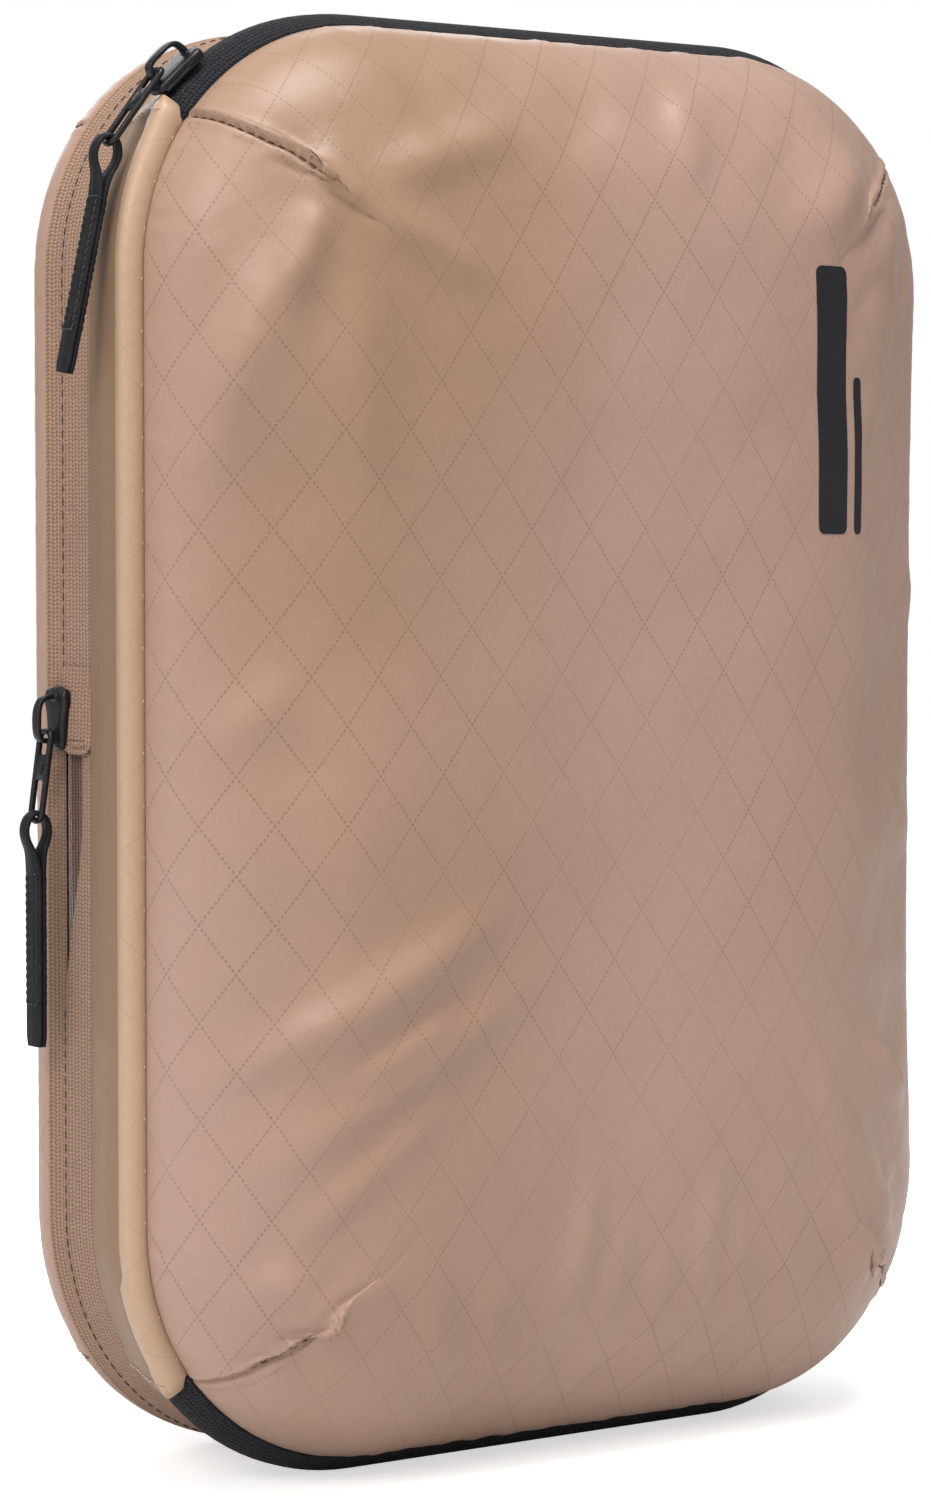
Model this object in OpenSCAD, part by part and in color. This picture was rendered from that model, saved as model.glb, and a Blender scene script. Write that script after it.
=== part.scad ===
// Medium compression packing cube, standing on its narrow end.
// Built as a zippered lid, a frame ring between two zippers and a back shell.
//
// Frame: origin at the middle of the bottom run of the side wall, on the plane
// the cube rests on. X runs across the front, -Y points out of the front panel,
// +Z is up the height. Lengths are in millimetres.
//
// Every band of the side wall is one closed loop of the same rounded rectangle.
// A band's section is written as [radial offset, depth] pairs, where the radial
// offset is counted from the outermost loop and depth is the Y coordinate.

/* [Case] */
// Width across the outermost loop
body_w = 248; // [220:1:300]
// Height of the outermost loop
body_h = 360; // [300:1:420]
// Corner radius of the outermost loop
corner_r = 66; // [50:1:80]
// How far the filled front panel stands out from its seam
front_bulge = 35; // [20:1:45]
// How far the filled back panel stands out from its seam
back_bulge = 27; // [15:1:40]
// Depth of the back panel's seam behind the origin
back_seam_y = 38.5; // [34:0.5:44]

/* [Cloth] */
// Thickness of a filled panel
panel_t = 1.5; // [1:0.1:2.5]
// Thickness of a sewn band
band_t = 1.0; // [0.6:0.1:1.4]
// Depth of the inward fold of the expansion gusset
gusset_fold = 17; // [14:1:24]

/* [Zippers] */
// Width of one coil half
coil_w = 1.5; // [1:0.1:2]
// Gap between the two halves of a closed zipper
zip_gap = 0.3; // [0.2:0.05:0.5]
// Angle on the top-left corner at which the main slider is parked
main_park_angle = 45; // [42:1:50]
// Height at which the compression slider is parked
compression_park_z = 187; // [160:1:200]
// Length of a slider body
slider_l = 15.5; // [13:0.5:17]
// Width of a slider body
slider_w = 10; // [9:0.5:11]

/* [Pulls] */
// Length of a metal puller
puller_l = 24; // [22:1:28]
// Width of a metal puller and of the tab's tail
puller_w = 7; // [6.4:0.2:7.6]
// Length of a pull tab below the puller
tab_l = 54; // [40:1:64]
// Thickness of one layer of the folded tab
tab_layer = 1.2; // [0.8:0.1:1.4]

/* [View] */
// Which sub-part to draw

/* [Hidden] */

$fn = 48;

// Colours
c_panel = [0.73, 0.61, 0.53];
c_strip = [0.67, 0.55, 0.44];
c_tan_tape = [0.60, 0.48, 0.40];
c_binding = [0.45, 0.36, 0.30];
c_black_tape = [0.13, 0.13, 0.15];
c_black_coil = [0.08, 0.08, 0.09];
c_metal = [0.10, 0.10, 0.11];
c_leather = [0.15, 0.15, 0.16];

// Stations down the side wall, as [radial offset, depth]
meet_y = -1.5;
land_half = 1.35;
front_seam = [-4.5, -9];
front_land = [0, -3.35];
front_lip = [0, meet_y - zip_gap / 2];
rear_lip = [0, meet_y + zip_gap / 2];
rear_land = [0, land_half];
main_border = [-2, 6];
strip_border = [-4.5, 15.8];
compression_meet_y = 30.5;
compression_lip_front = [-5.5, compression_meet_y - zip_gap / 2];
compression_lip_rear = [-5.5, compression_meet_y + zip_gap / 2];
back_seam = [-4.5, back_seam_y];
in_step = [-band_t, 0];

// Part of each left-hand corner taken up by the hinge strip
hinge_sweep = 36;
full_turn = 90;

// Panel meshing
corner_steps = 9;
long_steps = 5;
short_steps = 4;
profile_steps = 13;
panel_reach = body_w / 2 - 18;
panel_power = 1.3;
corner_fade = 0.62;
crest_r = 8;
crest_lift = 0.2;
front_overhang = 2;
back_overhang = 1;
sag_end = 45;
slope_step = 0.5;

// Seam bindings
binding_w = 4.5;
binding_t = 1.2;
binding_clear = 0.5;

// Coils
coil_t = 1.6;
coil_clear = 0.1;
stop_l = 4;
stop_proud = 1.0;

// Sliders, in their own frame: x along the tape, y across it, z off the tape
slider_clear = 0.8;
plate_t = 2.4;
plate_top = slider_clear + plate_t;
shoulder_r = slider_w / 2;
tail_w = 7.4;
tail_r = 1.5;
crown_l = 12;
crown_w = 2.4;
crown_bar = 1.2;
crown_slot_h = 4;
crown_slot_l = 8.4;
crown_h = crown_slot_h + crown_bar;
crown_round = 1.4;
bail_x = -3.1;
bail_z = plate_top + crown_slot_h / 2;

// Pullers, counted from the bail bar's axis to the end bar that carries the tab
puller_t = 2;
bail_bar = 1.7;
window_w = 4.4;
window_l = 5.2;
end_bar = 2.4;
second_window_l = 8.3;
window_gap = puller_l - bail_bar - window_l - second_window_l - end_bar;
end_bar_x = puller_l - (bail_bar + end_bar) / 2;

// Pull tabs: the loop goes through the second window and round the puller's end bar
loop_r = 4.4;
loop_w = 3.8;
loop_drop = 1.6;
tail_start = loop_r + 2;

// How the pulls hang, in degrees
main_hang = -10;
main_skew = -7;
main_tab_lean = -25.5;
compression_hang = 8;
compression_tab_lean = -8;

mid_z = body_h / 2;
half_w = body_w / 2;
half_h = body_h / 2;
turn_x = half_w - corner_r;
turn_z = half_h - corner_r;

// ---------------------------------------------------------------- loops

// One straight run of a band: side 0 is right, 1 bottom, 2 left, 3 top
module straight(section, side) {
  reach = side % 2 == 0 ? half_w : half_h;
  run = side % 2 == 0 ? 2 * turn_z : 2 * turn_x;
  translate([0, 0, mid_z])
    rotate([0, side * full_turn, 0])
      translate([reach, 0, 0])
        linear_extrude(height = run, center = true)
          polygon(section);
}

// One corner of a band: quarter 0 is bottom right, 1 bottom left, 2 top left, 3 top right
module corner(section, quarter, from = 0, sweep = full_turn) {
  sx = quarter == 0 || quarter == 3 ? 1 : -1;
  sz = quarter < 2 ? -1 : 1;
  translate([sx * turn_x, 0, mid_z + sz * turn_z])
    rotate([-90, 0, 0])
      rotate_extrude(angle = sweep, start = quarter * full_turn + from)
        polygon([for (p = section) [corner_r + p[0], p[1]]]);
}

// The whole loop
module ring(section) {
  for (side = [0 : 3])
    straight(section, side);
  for (quarter = [0 : 3])
    corner(section, quarter);
}

// The loop without the hinge side, as the main zipper runs
module zip_run(section) {
  for (side = [0, 1, 3])
    straight(section, side);
  corner(section, 0);
  corner(section, 3);
  corner(section, 1, 0, full_turn - hinge_sweep);
  corner(section, 2, hinge_sweep, full_turn - hinge_sweep);
}

// The hinge side alone
module hinge_run(section) {
  straight(section, 2);
  corner(section, 1, full_turn - hinge_sweep, hinge_sweep);
  corner(section, 2, 0, hinge_sweep);
}

function band(stations) = concat(stations, [for (i = [len(stations) - 1 : -1 : 0]) stations[i] + in_step]);

function strip_box(r0, r1, y0, y1) = [[r0, y0], [r1, y0], [r1, y1], [r0, y1]];

// ---------------------------------------------------------------- panels

// One point of a rounded rectangle, walking a corner arc of the given radius
function arc_point(q, a, hw, hh, r) =
  let (sx = q == 0 || q == 3 ? 1 : -1, sz = q < 2 ? 1 : -1)
  [sx * (hw - r) + r * cos(q * full_turn + a), sz * (hh - r) + r * sin(q * full_turn + a)];

function run_steps(q) = q % 2 == 0 ? short_steps : long_steps;

// A rounded rectangle as a list of [x, z] points, evenly stepped on each side
function outline(hw, hh, r) = [
  for (q = [0 : 3])
    let (a = arc_point(q, full_turn, hw, hh, r), b = arc_point((q + 1) % 4, 0, hw, hh, r))
    each concat([for (i = [0 : corner_steps - 1]) arc_point(q, i * full_turn / corner_steps, hw, hh, r)],
                [for (i = [0 : run_steps(q) - 1]) a + (b - a) * i / run_steps(q)])
];

// A panel's profile at angle t, as [inset from the seam, rise off the seam]
function profile_at(t, rise, overhang) =
  [panel_reach * pow(1 - cos(t), panel_power) - (t < sag_end ? overhang * sin(4 * t) : 0), rise * sin(t)];

// Unit normal of the profile, pointing into the case
function inward_at(t, rise, overhang) =
  let (a = profile_at(max(t - slope_step, 0), rise, overhang),
       b = profile_at(min(t + slope_step, full_turn), rise, overhang),
       d = (b - a) / norm(b - a))
  [d[1], -d[0]];

// Points of one loop of the panel. The cloth flattens where it meets the ground.
function panel_loop(seam_r, seam_y, rise, overhang, t, skin) =
  let (p = profile_at(t, abs(rise), overhang) + skin * inward_at(t, abs(rise), overhang),
       hw = half_w + seam_r - p[0],
       hh = half_h + seam_r - p[0],
       r = max(corner_r + seam_r - p[0] * corner_fade, crest_r),
       y = seam_y + sign(rise) * p[1])
  [for (q = outline(hw, hh, r)) [q[0], y, max(mid_z + q[1], skin)]];

// The crest of one skin: the middle of its last loop, a touch further out
function crest_point(loop, rise) = [0, loop[0][1] + sign(rise) * crest_lift, mid_z];

// A hollow filled panel: an outer skin and an inner one joined along the seam
module filled_panel(seam_r, seam_y, rise, overhang) {
  last = profile_steps;
  outer = [for (j = [0 : last]) panel_loop(seam_r, seam_y, rise, overhang, full_turn * j / last, 0)];
  inner = [for (j = [0 : last]) panel_loop(seam_r, seam_y, rise, overhang, full_turn * j / last, panel_t)];
  n = len(outer[0]);
  loops = concat([for (j = [last : -1 : 0]) outer[j]], inner);
  count = len(loops);
  crest_at = count * n;
  sides = [
    for (j = [0 : count - 2], i = [0 : n - 1])
      let (a = j * n + i, b = j * n + (i + 1) % n, c = a + n, d = b + n)
      each (rise < 0 ? [[a, b, c], [b, d, c]] : [[a, c, b], [b, c, d]])
  ];
  // Each skin closes on a point at its crest
  crests = [crest_point(outer[last], rise), crest_point(inner[last], rise)];
  fan_outer = [for (i = [0 : n - 1]) let (j = (i + 1) % n) rise < 0 ? [crest_at, j, i] : [crest_at, i, j]];
  base = (count - 1) * n;
  fan_inner = [
    for (i = [0 : n - 1])
      let (j = (i + 1) % n)
      rise < 0 ? [crest_at + 1, base + i, base + j] : [crest_at + 1, base + j, base + i]
  ];
  polyhedron(points = concat([for (loop = loops) each loop], crests), faces = concat(sides, fan_outer, fan_inner));
}

module front_panel() {
  color(c_panel)
    filled_panel(front_seam[0], front_seam[1], -front_bulge, front_overhang);
}

module back_panel() {
  color(c_panel)
    filled_panel(back_seam[0], back_seam[1], back_bulge, back_overhang);
}

// ---------------------------------------------------------------- lid bands

module front_binding() {
  r0 = front_seam[0] - panel_t - binding_t;
  color(c_binding)
    ring(strip_box(r0, r0 + binding_t, front_seam[1], front_seam[1] + binding_w));
}

module main_tape_front() {
  color(c_black_tape)
    zip_run(band([front_seam, front_land, front_lip]));
}

module hinge_edge() {
  color(c_strip)
    hinge_run(band([front_seam, front_land, front_lip]));
}

module main_coil_front() {
  r0 = -band_t - coil_clear - coil_t;
  color(c_black_coil)
    zip_run(strip_box(r0, r0 + coil_t, front_lip[1] - coil_w, front_lip[1]));
}

// ---------------------------------------------------------------- frame bands

module main_tape_rear() {
  color(c_black_tape)
    zip_run(band([rear_lip, rear_land, main_border]));
}

module main_coil_rear() {
  r0 = -band_t - coil_clear - coil_t;
  color(c_black_coil)
    zip_run(strip_box(r0, r0 + coil_t, rear_lip[1], rear_lip[1] + coil_w));
}

// Moulded blocks that close the two ends of the main coil, on the inner face
module main_zip_stops() {
  r0 = -band_t - coil_clear - coil_t - stop_proud;
  section = strip_box(r0, r0 + coil_t + stop_proud, rear_lip[1], rear_lip[1] + 2 * coil_w);
  turn = stop_l * 180 / (PI * corner_r);
  color(c_metal) {
    corner(section, 1, full_turn - hinge_sweep, turn);
    corner(section, 2, hinge_sweep - turn, turn);
  }
}

module hinge_strip() {
  color(c_strip)
    hinge_run(band([rear_lip, rear_land, main_border, strip_border]));
}

module side_strip() {
  color(c_panel)
    zip_run(band([main_border, strip_border]));
}

module compression_tape_front() {
  color(c_tan_tape)
    ring(band([strip_border, compression_lip_front]));
}

module compression_coil_front() {
  r0 = compression_lip_front[0] - band_t - coil_clear - coil_t;
  color(c_tan_tape)
    ring(strip_box(r0, r0 + coil_t, compression_lip_front[1] - coil_w, compression_lip_front[1]));
}

// The tape's free end, turned over and sewn down below the parked slider
module compression_tape_end() {
  end_w = 10;
  end_l = 5;
  end_t = 1.6;
  end_top = compression_park_z - slider_l / 2 - 1.5;
  gap = 0.05;
  y1 = compression_lip_front[1];
  y0 = y1 - end_w;
  r1 = compression_lip_front[0] + gap;
  r0 = r1 + (strip_border[0] - compression_lip_front[0]) * end_w / (y1 - strip_border[1]);
  color(c_tan_tape)
    translate([-half_w, 0, end_top - end_l])
      linear_extrude(height = end_l)
        polygon([[-r0, y0], [-r0 - end_t, y0], [-r1 - end_t, y1], [-r1, y1]]);
}

module frame_binding() {
  r0 = strip_border[0] - band_t - binding_t - coil_clear;
  color(c_binding)
    ring(strip_box(r0, r0 + binding_t, strip_border[1] - binding_w, strip_border[1]));
}

// Folded inward between the two compression tapes; it opens out when the shell moves back
module expansion_gusset() {
  r0 = compression_lip_front[0] - band_t - coil_t - binding_t;
  y0 = strip_border[1] + binding_clear;
  y1 = back_seam[1] - binding_w - binding_clear;
  ym = (y0 + y1) / 2;
  color(c_binding)
    ring([[r0, y0], [r0 - gusset_fold, ym], [r0, y1], [r0 - band_t * 2, y1], [r0 - gusset_fold - band_t * 3, ym],
          [r0 - band_t * 2, y0]]);
}

// ---------------------------------------------------------------- back bands

module compression_tape_rear() {
  color(c_tan_tape)
    ring(band([compression_lip_rear, back_seam]));
}

module compression_coil_rear() {
  r0 = compression_lip_rear[0] - band_t - coil_clear - coil_t;
  color(c_tan_tape)
    ring(strip_box(r0, r0 + coil_t, compression_lip_rear[1], compression_lip_rear[1] + coil_w));
}

module back_binding() {
  r0 = back_seam[0] - panel_t - binding_t - binding_clear;
  color(c_binding)
    ring(strip_box(r0, r0 + binding_t, back_seam[1] - binding_w, back_seam[1]));
}

// ---------------------------------------------------------------- sliders

// Stands a slider on the top-left corner of the main zipper
module on_main() {
  translate([-turn_x, meet_y, mid_z + turn_z])
    rotate([0, main_park_angle, 0])
      translate([-corner_r, 0, 0])
        rotate([0, -90, 0])
          children();
}

// Stands a slider on the left side of the compression zipper
module on_compression() {
  translate([-half_w - compression_lip_front[0], compression_meet_y, compression_park_z])
    rotate([0, -90, 0])
      children();
}

// Flared nose, straight flanks and a narrower tail
module slider_plan() {
  nose_x = slider_l / 2 - shoulder_r;
  tail_x = slider_l / 2 - tail_r;
  difference() {
    union() {
      translate([nose_x, 0])
        circle(r = shoulder_r);
      translate([-tail_x, -tail_w / 2])
        square([tail_x + nose_x, tail_w]);
      for (s = [-1, 1])
        translate([-tail_x, s * (tail_w / 2 - tail_r)])
          circle(r = tail_r);
      translate([-slider_l / 2, tail_r - tail_w / 2])
        square([tail_r, tail_w - 2 * tail_r]);
    }
    translate([slider_l / 2, 0])
      circle(r = tail_r);
  }
}

module slider_body() {
  color(c_metal)
    translate([0, 0, slider_clear])
      linear_extrude(height = plate_t)
        slider_plan();
}

module crown_side() {
  difference() {
    union() {
      translate([-crown_l / 2 + crown_round, 0])
        square([crown_l - 2 * crown_round, crown_h]);
      translate([-crown_l / 2, 0])
        square([crown_l, crown_h - crown_round]);
      for (s = [-1, 1])
        translate([s * (crown_l / 2 - crown_round), crown_h - crown_round])
          circle(r = crown_round);
    }
    translate([-crown_slot_l / 2, 0])
      square([crown_slot_l, crown_slot_h]);
  }
}

module slider_crown() {
  color(c_metal)
    translate([0, crown_w / 2, plate_top])
      rotate([90, 0, 0])
        linear_extrude(height = crown_w)
          crown_side();
}

// Flat puller: a window round the crown, a solid web, a window for the tab, a rounded end
module puller_plan() {
  first_z = bail_bar / 2;
  second_z = first_z + window_l + window_gap;
  difference() {
    union() {
      translate([-puller_w / 2, bail_bar / 4])
        square([puller_w, puller_l - puller_w / 2 - bail_bar * 3 / 4]);
      translate([0, puller_l - puller_w / 2 - bail_bar / 2])
        circle(d = puller_w);
    }
    translate([-window_w / 2, -first_z])
      square([window_w, window_l + 2 * first_z]);
    translate([-window_w / 2, second_z])
      square([window_w, second_window_l]);
  }
}

module puller() {
  color(c_metal) {
    rotate([0, 0, 90])
      translate([0, 0, -puller_t / 2])
        linear_extrude(height = puller_t)
          puller_plan();
    rotate([90, 0, 0])
      cylinder(d = bail_bar, h = puller_w, center = true);
  }
}

// Side view of a folded tab, hanging along +y from the puller's end bar
module tab_loop_side() {
  difference() {
    union() {
      circle(r = loop_r);
      translate([-tab_layer, 0])
        square([2 * tab_layer, tail_start]);
    }
    circle(r = loop_r - tab_layer);
  }
}

module pull_tab() {
  color(c_leather)
    rotate([90, 0, 0])
      rotate([0, 0, 90]) {
        linear_extrude(height = loop_w, center = true)
          translate([0, loop_drop])
            tab_loop_side();
        linear_extrude(height = puller_w, center = true)
          translate([-tab_layer, loop_drop + tail_start])
            square([2 * tab_layer, tab_l - tail_start]);
      }
}

module hang_puller(hang, skew) {
  translate([bail_x, 0, bail_z])
    rotate([0, 0, skew])
      rotate([0, hang, 0])
        children();
}

module hang_tab(hang, skew, lean) {
  hang_puller(hang, skew)
    translate([-end_bar_x, 0, 0])
      rotate([0, lean, 0])
        children();
}

module main_slider_body() {
  on_main()
    slider_body();
}

module main_slider_crown() {
  on_main()
    slider_crown();
}

module main_puller() {
  on_main()
    hang_puller(main_hang, main_skew)
      puller();
}

module main_pull_tab() {
  on_main()
    hang_tab(main_hang, main_skew, main_tab_lean)
      pull_tab();
}

module compression_slider_body() {
  on_compression()
    slider_body();
}

module compression_slider_crown() {
  on_compression()
    slider_crown();
}

module compression_puller() {
  on_compression()
    hang_puller(compression_hang, 0)
      puller();
}

module compression_pull_tab() {
  on_compression()
    hang_tab(compression_hang, 0, compression_tab_lean)
      pull_tab();
}

// ---------------------------------------------------------------- assembly

front_panel();
front_binding();
hinge_edge();
main_tape_front();
main_coil_front();
main_tape_rear();
main_coil_rear();
main_zip_stops();
hinge_strip();
side_strip();
compression_tape_front();
compression_coil_front();
compression_tape_end();
frame_binding();
expansion_gusset();
back_panel();
back_binding();
compression_tape_rear();
compression_coil_rear();
main_slider_body();
main_slider_crown();
main_puller();
main_pull_tab();
compression_slider_body();
compression_slider_crown();
compression_puller();
compression_pull_tab();
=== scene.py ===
"""Medium compression packing cube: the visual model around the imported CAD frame.

Lengths in the construction code are millimetres in the CAD frame (front = -Y, up = +Z) and are
turned into metres where a mesh is made. The side wall's bands all follow one rounded rectangle;
a place on it is s, the distance walked clockwise (seen from the front) from the middle of the
left side, and a band's section is written as [r, y]: r outward from the outermost loop.
"""

import math

import bmesh
import bpy
import numpy as np
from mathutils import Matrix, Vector, noise
from mathutils.bvhtree import BVHTree


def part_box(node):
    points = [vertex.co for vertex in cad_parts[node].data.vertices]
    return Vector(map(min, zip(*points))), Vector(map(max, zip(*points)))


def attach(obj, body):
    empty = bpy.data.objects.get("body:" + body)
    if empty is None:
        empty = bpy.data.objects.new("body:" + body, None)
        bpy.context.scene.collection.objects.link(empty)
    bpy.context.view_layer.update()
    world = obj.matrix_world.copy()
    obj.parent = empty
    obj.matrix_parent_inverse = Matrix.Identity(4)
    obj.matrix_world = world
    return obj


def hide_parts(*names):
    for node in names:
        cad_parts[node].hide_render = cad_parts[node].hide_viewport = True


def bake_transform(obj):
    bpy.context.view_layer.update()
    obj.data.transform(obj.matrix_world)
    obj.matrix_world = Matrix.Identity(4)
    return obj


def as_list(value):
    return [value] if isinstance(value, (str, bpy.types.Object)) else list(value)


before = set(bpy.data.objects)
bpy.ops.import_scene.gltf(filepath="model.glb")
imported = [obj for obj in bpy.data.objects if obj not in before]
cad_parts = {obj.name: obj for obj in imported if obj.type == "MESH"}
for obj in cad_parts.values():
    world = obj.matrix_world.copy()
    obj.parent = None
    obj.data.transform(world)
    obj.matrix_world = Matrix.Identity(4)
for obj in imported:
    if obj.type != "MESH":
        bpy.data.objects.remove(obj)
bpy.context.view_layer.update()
scene = bpy.context.scene
MM = 0.001


def lo(node):
    return np.array(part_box(node)[0]) / MM


def hi(node):
    return np.array(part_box(node)[1]) / MM


# ---- sizes, from the frame

HALF_W = hi("main_tape_rear")[0]
HALF_H = hi("main_tape_rear")[2] / 2
CORNER_R = 66.0
TURN_X = HALF_W - CORNER_R
TURN_Z = HALF_H - CORNER_R
ARC = CORNER_R * math.pi / 2
AROUND = 4 * (TURN_X + TURN_Z + ARC)

FRONT_SEAM_Y = hi("front_panel")[1]
FRONT_SEAM_R = -4.5
MAIN_MEET_Y = (hi("main_tape_front")[1] + lo("main_tape_rear")[1]) / 2
STRIP_BORDER_Y = hi("side_strip")[1]
COMP_MEET_Y = (hi("compression_tape_front")[1] + lo("compression_tape_rear")[1]) / 2
COMP_R = -5.5
BACK_SEAM_Y = lo("back_panel")[1]
BACK_SEAM_R = -4.5
HINGE_SWEEP = math.radians(36)
STRIP_END_S = TURN_Z + CORNER_R * HINGE_SWEEP

PINCH = 1.2
SIDE_GIVE = 4.2
REAR_RISE = 2.0
REAR_SAG = 3.0


# ---- the loop

def on_loop(s):
    """Place (x, z) and outward normal (nx, nz) on the outermost loop at distance s."""
    s = s % AROUND
    legs = [
        ("line", TURN_Z, (-HALF_W, 0), (0, 1), (-1, 0)),
        ("arc", ARC, (-TURN_X, TURN_Z), math.pi, None),
        ("line", 2 * TURN_X, (-TURN_X, HALF_H), (1, 0), (0, 1)),
        ("arc", ARC, (TURN_X, TURN_Z), math.pi / 2, None),
        ("line", 2 * TURN_Z, (HALF_W, TURN_Z), (0, -1), (1, 0)),
        ("arc", ARC, (TURN_X, -TURN_Z), 0, None),
        ("line", 2 * TURN_X, (TURN_X, -HALF_H), (-1, 0), (0, -1)),
        ("arc", ARC, (-TURN_X, -TURN_Z), -math.pi / 2, None),
        ("line", TURN_Z, (-HALF_W, -TURN_Z), (0, 1), (-1, 0)),
    ]
    for kind, length, at, heading, normal in legs:
        if s <= length:
            break
        s -= length
    if kind == "line":
        return at[0] + heading[0] * s, HALF_H + at[1] + heading[1] * s, normal[0], normal[1]
    a = heading - s / CORNER_R
    nx, nz = math.cos(a), math.sin(a)
    return at[0] + CORNER_R * nx, HALF_H + at[1] + CORNER_R * nz, nx, nz


def smooth_step(a, b, x):
    t = np.clip((x - a) / (b - a), 0, 1)
    return t * t * (3 - 2 * t)


def settle(p):
    """The filled cube's own give: its right side draws in, and the rear of the wall sags."""
    x, z = p[:, 0], p[:, 2]
    side = smooth_step(0.15 * HALF_W, HALF_W, x)
    height = np.clip(1 - ((z - HALF_H) / (0.72 * HALF_H)) ** 2, 0, 1)
    q = p.copy()
    q[:, 0] = x - side * (SIDE_GIVE + PINCH * height)
    rear = smooth_step(6, 28, p[:, 1])
    q[:, 2] = z + REAR_RISE * rear * smooth_step(1.5 * HALF_H, 1.95 * HALF_H, z)
    q[:, 2] -= REAR_SAG * rear * (1 - smooth_step(0.05 * HALF_H, 0.5 * HALF_H, z))
    q[:, 2] = np.maximum(q[:, 2], 0.15 * rear)
    return q


def flare(s_normal, y):
    """The ridge of the main zipper stands out most at the corners and lies flatter between."""
    nx, nz = s_normal
    straight = 1 - (2 * nx * nz) ** 2
    if nz < -0.2:
        return 0.0
    return -1.3 * straight * math.exp(-(((y - MAIN_MEET_Y) / 4.5) ** 2))


# ---- mesh helpers

def make(name, verts, faces, uv=None, loop_uv=None, smooth=True):
    """A mesh object from millimetres; uv is per vertex, loop_uv per face corner, both in metres."""
    mesh = bpy.data.meshes.new(name)
    mesh.from_pydata((np.asarray(verts, float) * MM).tolist(), [], faces)
    if uv is not None or loop_uv is not None:
        layer = mesh.uv_layers.new(name="Cloth")
        if loop_uv is None:
            index = np.zeros(len(mesh.loops), np.int32)
            mesh.loops.foreach_get("vertex_index", index)
            loop_uv = np.asarray(uv)[index]
        layer.data.foreach_set("uv", np.asarray(loop_uv, np.float32).ravel())
    mesh.polygons.foreach_set("use_smooth", np.full(len(mesh.polygons), smooth))
    mesh.validate()
    obj = bpy.data.objects.new(name, mesh)
    scene.collection.objects.link(obj)
    return obj


def finish_piece(obj, mat, body, slot, *nodes):
    obj.data.materials.clear()
    obj.data.materials.append(mat)
    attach(obj, body)
    if nodes:
        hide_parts(*nodes)
    return obj


def curve_through(points, count):
    """Catmull-Rom through the points, as count samples."""
    p = np.asarray(points, float)
    ends = np.vstack([2 * p[0] - p[1], p, 2 * p[-1] - p[-2]])
    out = []
    for t in np.linspace(0, len(p) - 1, count):
        k = min(int(t), len(p) - 2)
        f = t - k
        a, b, c, d = ends[k:k + 4]
        out.append(0.5 * (2 * b + (c - a) * f + (2 * a - 5 * b + 4 * c - d) * f ** 2
                          + (3 * b - a - 3 * c + d) * f ** 3))
    return np.array(out)


def ribbon(points, thickness, count):
    """A closed outline: the curve through the points outside, and thickness inward of it."""
    outer = curve_through(points, count)
    d = directions(outer)
    inward = np.stack([-d[:, 1], d[:, 0]], 1) * thickness
    if np.mean(inward[:, 0]) > 0:
        inward = -inward
    edge_a = outer[0] + inward[0] / 2 - d[0] * thickness / 3
    edge_b = outer[-1] + inward[-1] / 2 + d[-1] * thickness / 3
    return np.vstack([outer, edge_b, (outer + inward)[::-1], edge_a])


def stations(start, end, step=4.0):
    """Places along the loop, closer together round the corners."""
    marks = [start, end]
    edge = -AROUND
    for _ in range(3):
        for leg in (TURN_Z, ARC, 2 * TURN_X, ARC, 2 * TURN_Z, ARC, 2 * TURN_X, ARC, TURN_Z):
            edge += leg
            if start < edge < end:
                marks.append(edge)
    marks = sorted(set(np.round(marks, 4)))
    out = []
    for a, b in zip(marks[:-1], marks[1:]):
        n = max(1, int(math.ceil((b - a) / step)))
        out += list(np.linspace(a, b, n, endpoint=False))
    return np.array(out + [marks[-1]])


def sweep(name, s_list, section, closed, flared=True):
    """Carries a closed section round the loop. section is an outline or a function of s."""
    rows, uvs = [], []
    for s in s_list:
        x, z, nx, nz = on_loop(s)
        outline = section(s) if callable(section) else section
        r, y = outline[:, 0], outline[:, 1]
        lift = np.array([flare((nx, nz), v) for v in y]) if flared else 0
        rr = r + lift
        rows.append(np.stack([x + rr * nx, y, z + rr * nz], 1))
        run = np.concatenate([[0], np.cumsum(np.linalg.norm(np.diff(outline, axis=0), axis=1))])
        uvs.append(np.stack([np.full(len(r), s), run], 1) * MM)
    rows, uvs = np.array(rows), np.array(uvs)
    n, m = rows.shape[:2]
    verts = settle(rows.reshape(-1, 3))
    faces, loop_uv = [], []
    last = n if closed else n - 1
    for i in range(last):
        j = (i + 1) % n
        for k in range(m):
            l = (k + 1) % m
            faces.append((i * m + k, j * m + k, j * m + l, i * m + l))
            u0, u1 = uvs[i, k, 0], uvs[i, k, 0] + (s_list[1] - s_list[0]) * MM if j == 0 else uvs[j, k, 0]
            v0, v1 = uvs[i, k, 1], uvs[i, l, 1] if l else uvs[i, k, 1] + 0.001
            loop_uv += [(u0, v0), (u1, v0), (u1, v1), (u0, v1)]
    if not closed:
        for i, flip in ((0, False), (n - 1, True)):
            cap = [i * m + k for k in range(m)]
            faces.append(tuple(cap[::-1] if flip else cap))
            loop_uv += [tuple(uvs[i, k]) for k in (range(m - 1, -1, -1) if flip else range(m))]
    obj = make(name, verts, faces, loop_uv=loop_uv)
    fix_normals(obj)
    return obj


def fix_normals(obj):
    bm = bmesh.new()
    bm.from_mesh(obj.data)
    bmesh.ops.recalc_face_normals(bm, faces=bm.faces)
    bm.to_mesh(obj.data)
    bm.free()


def directions(path):
    d = np.gradient(path, axis=0)
    return d / np.linalg.norm(d, axis=1)[:, None]


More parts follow.
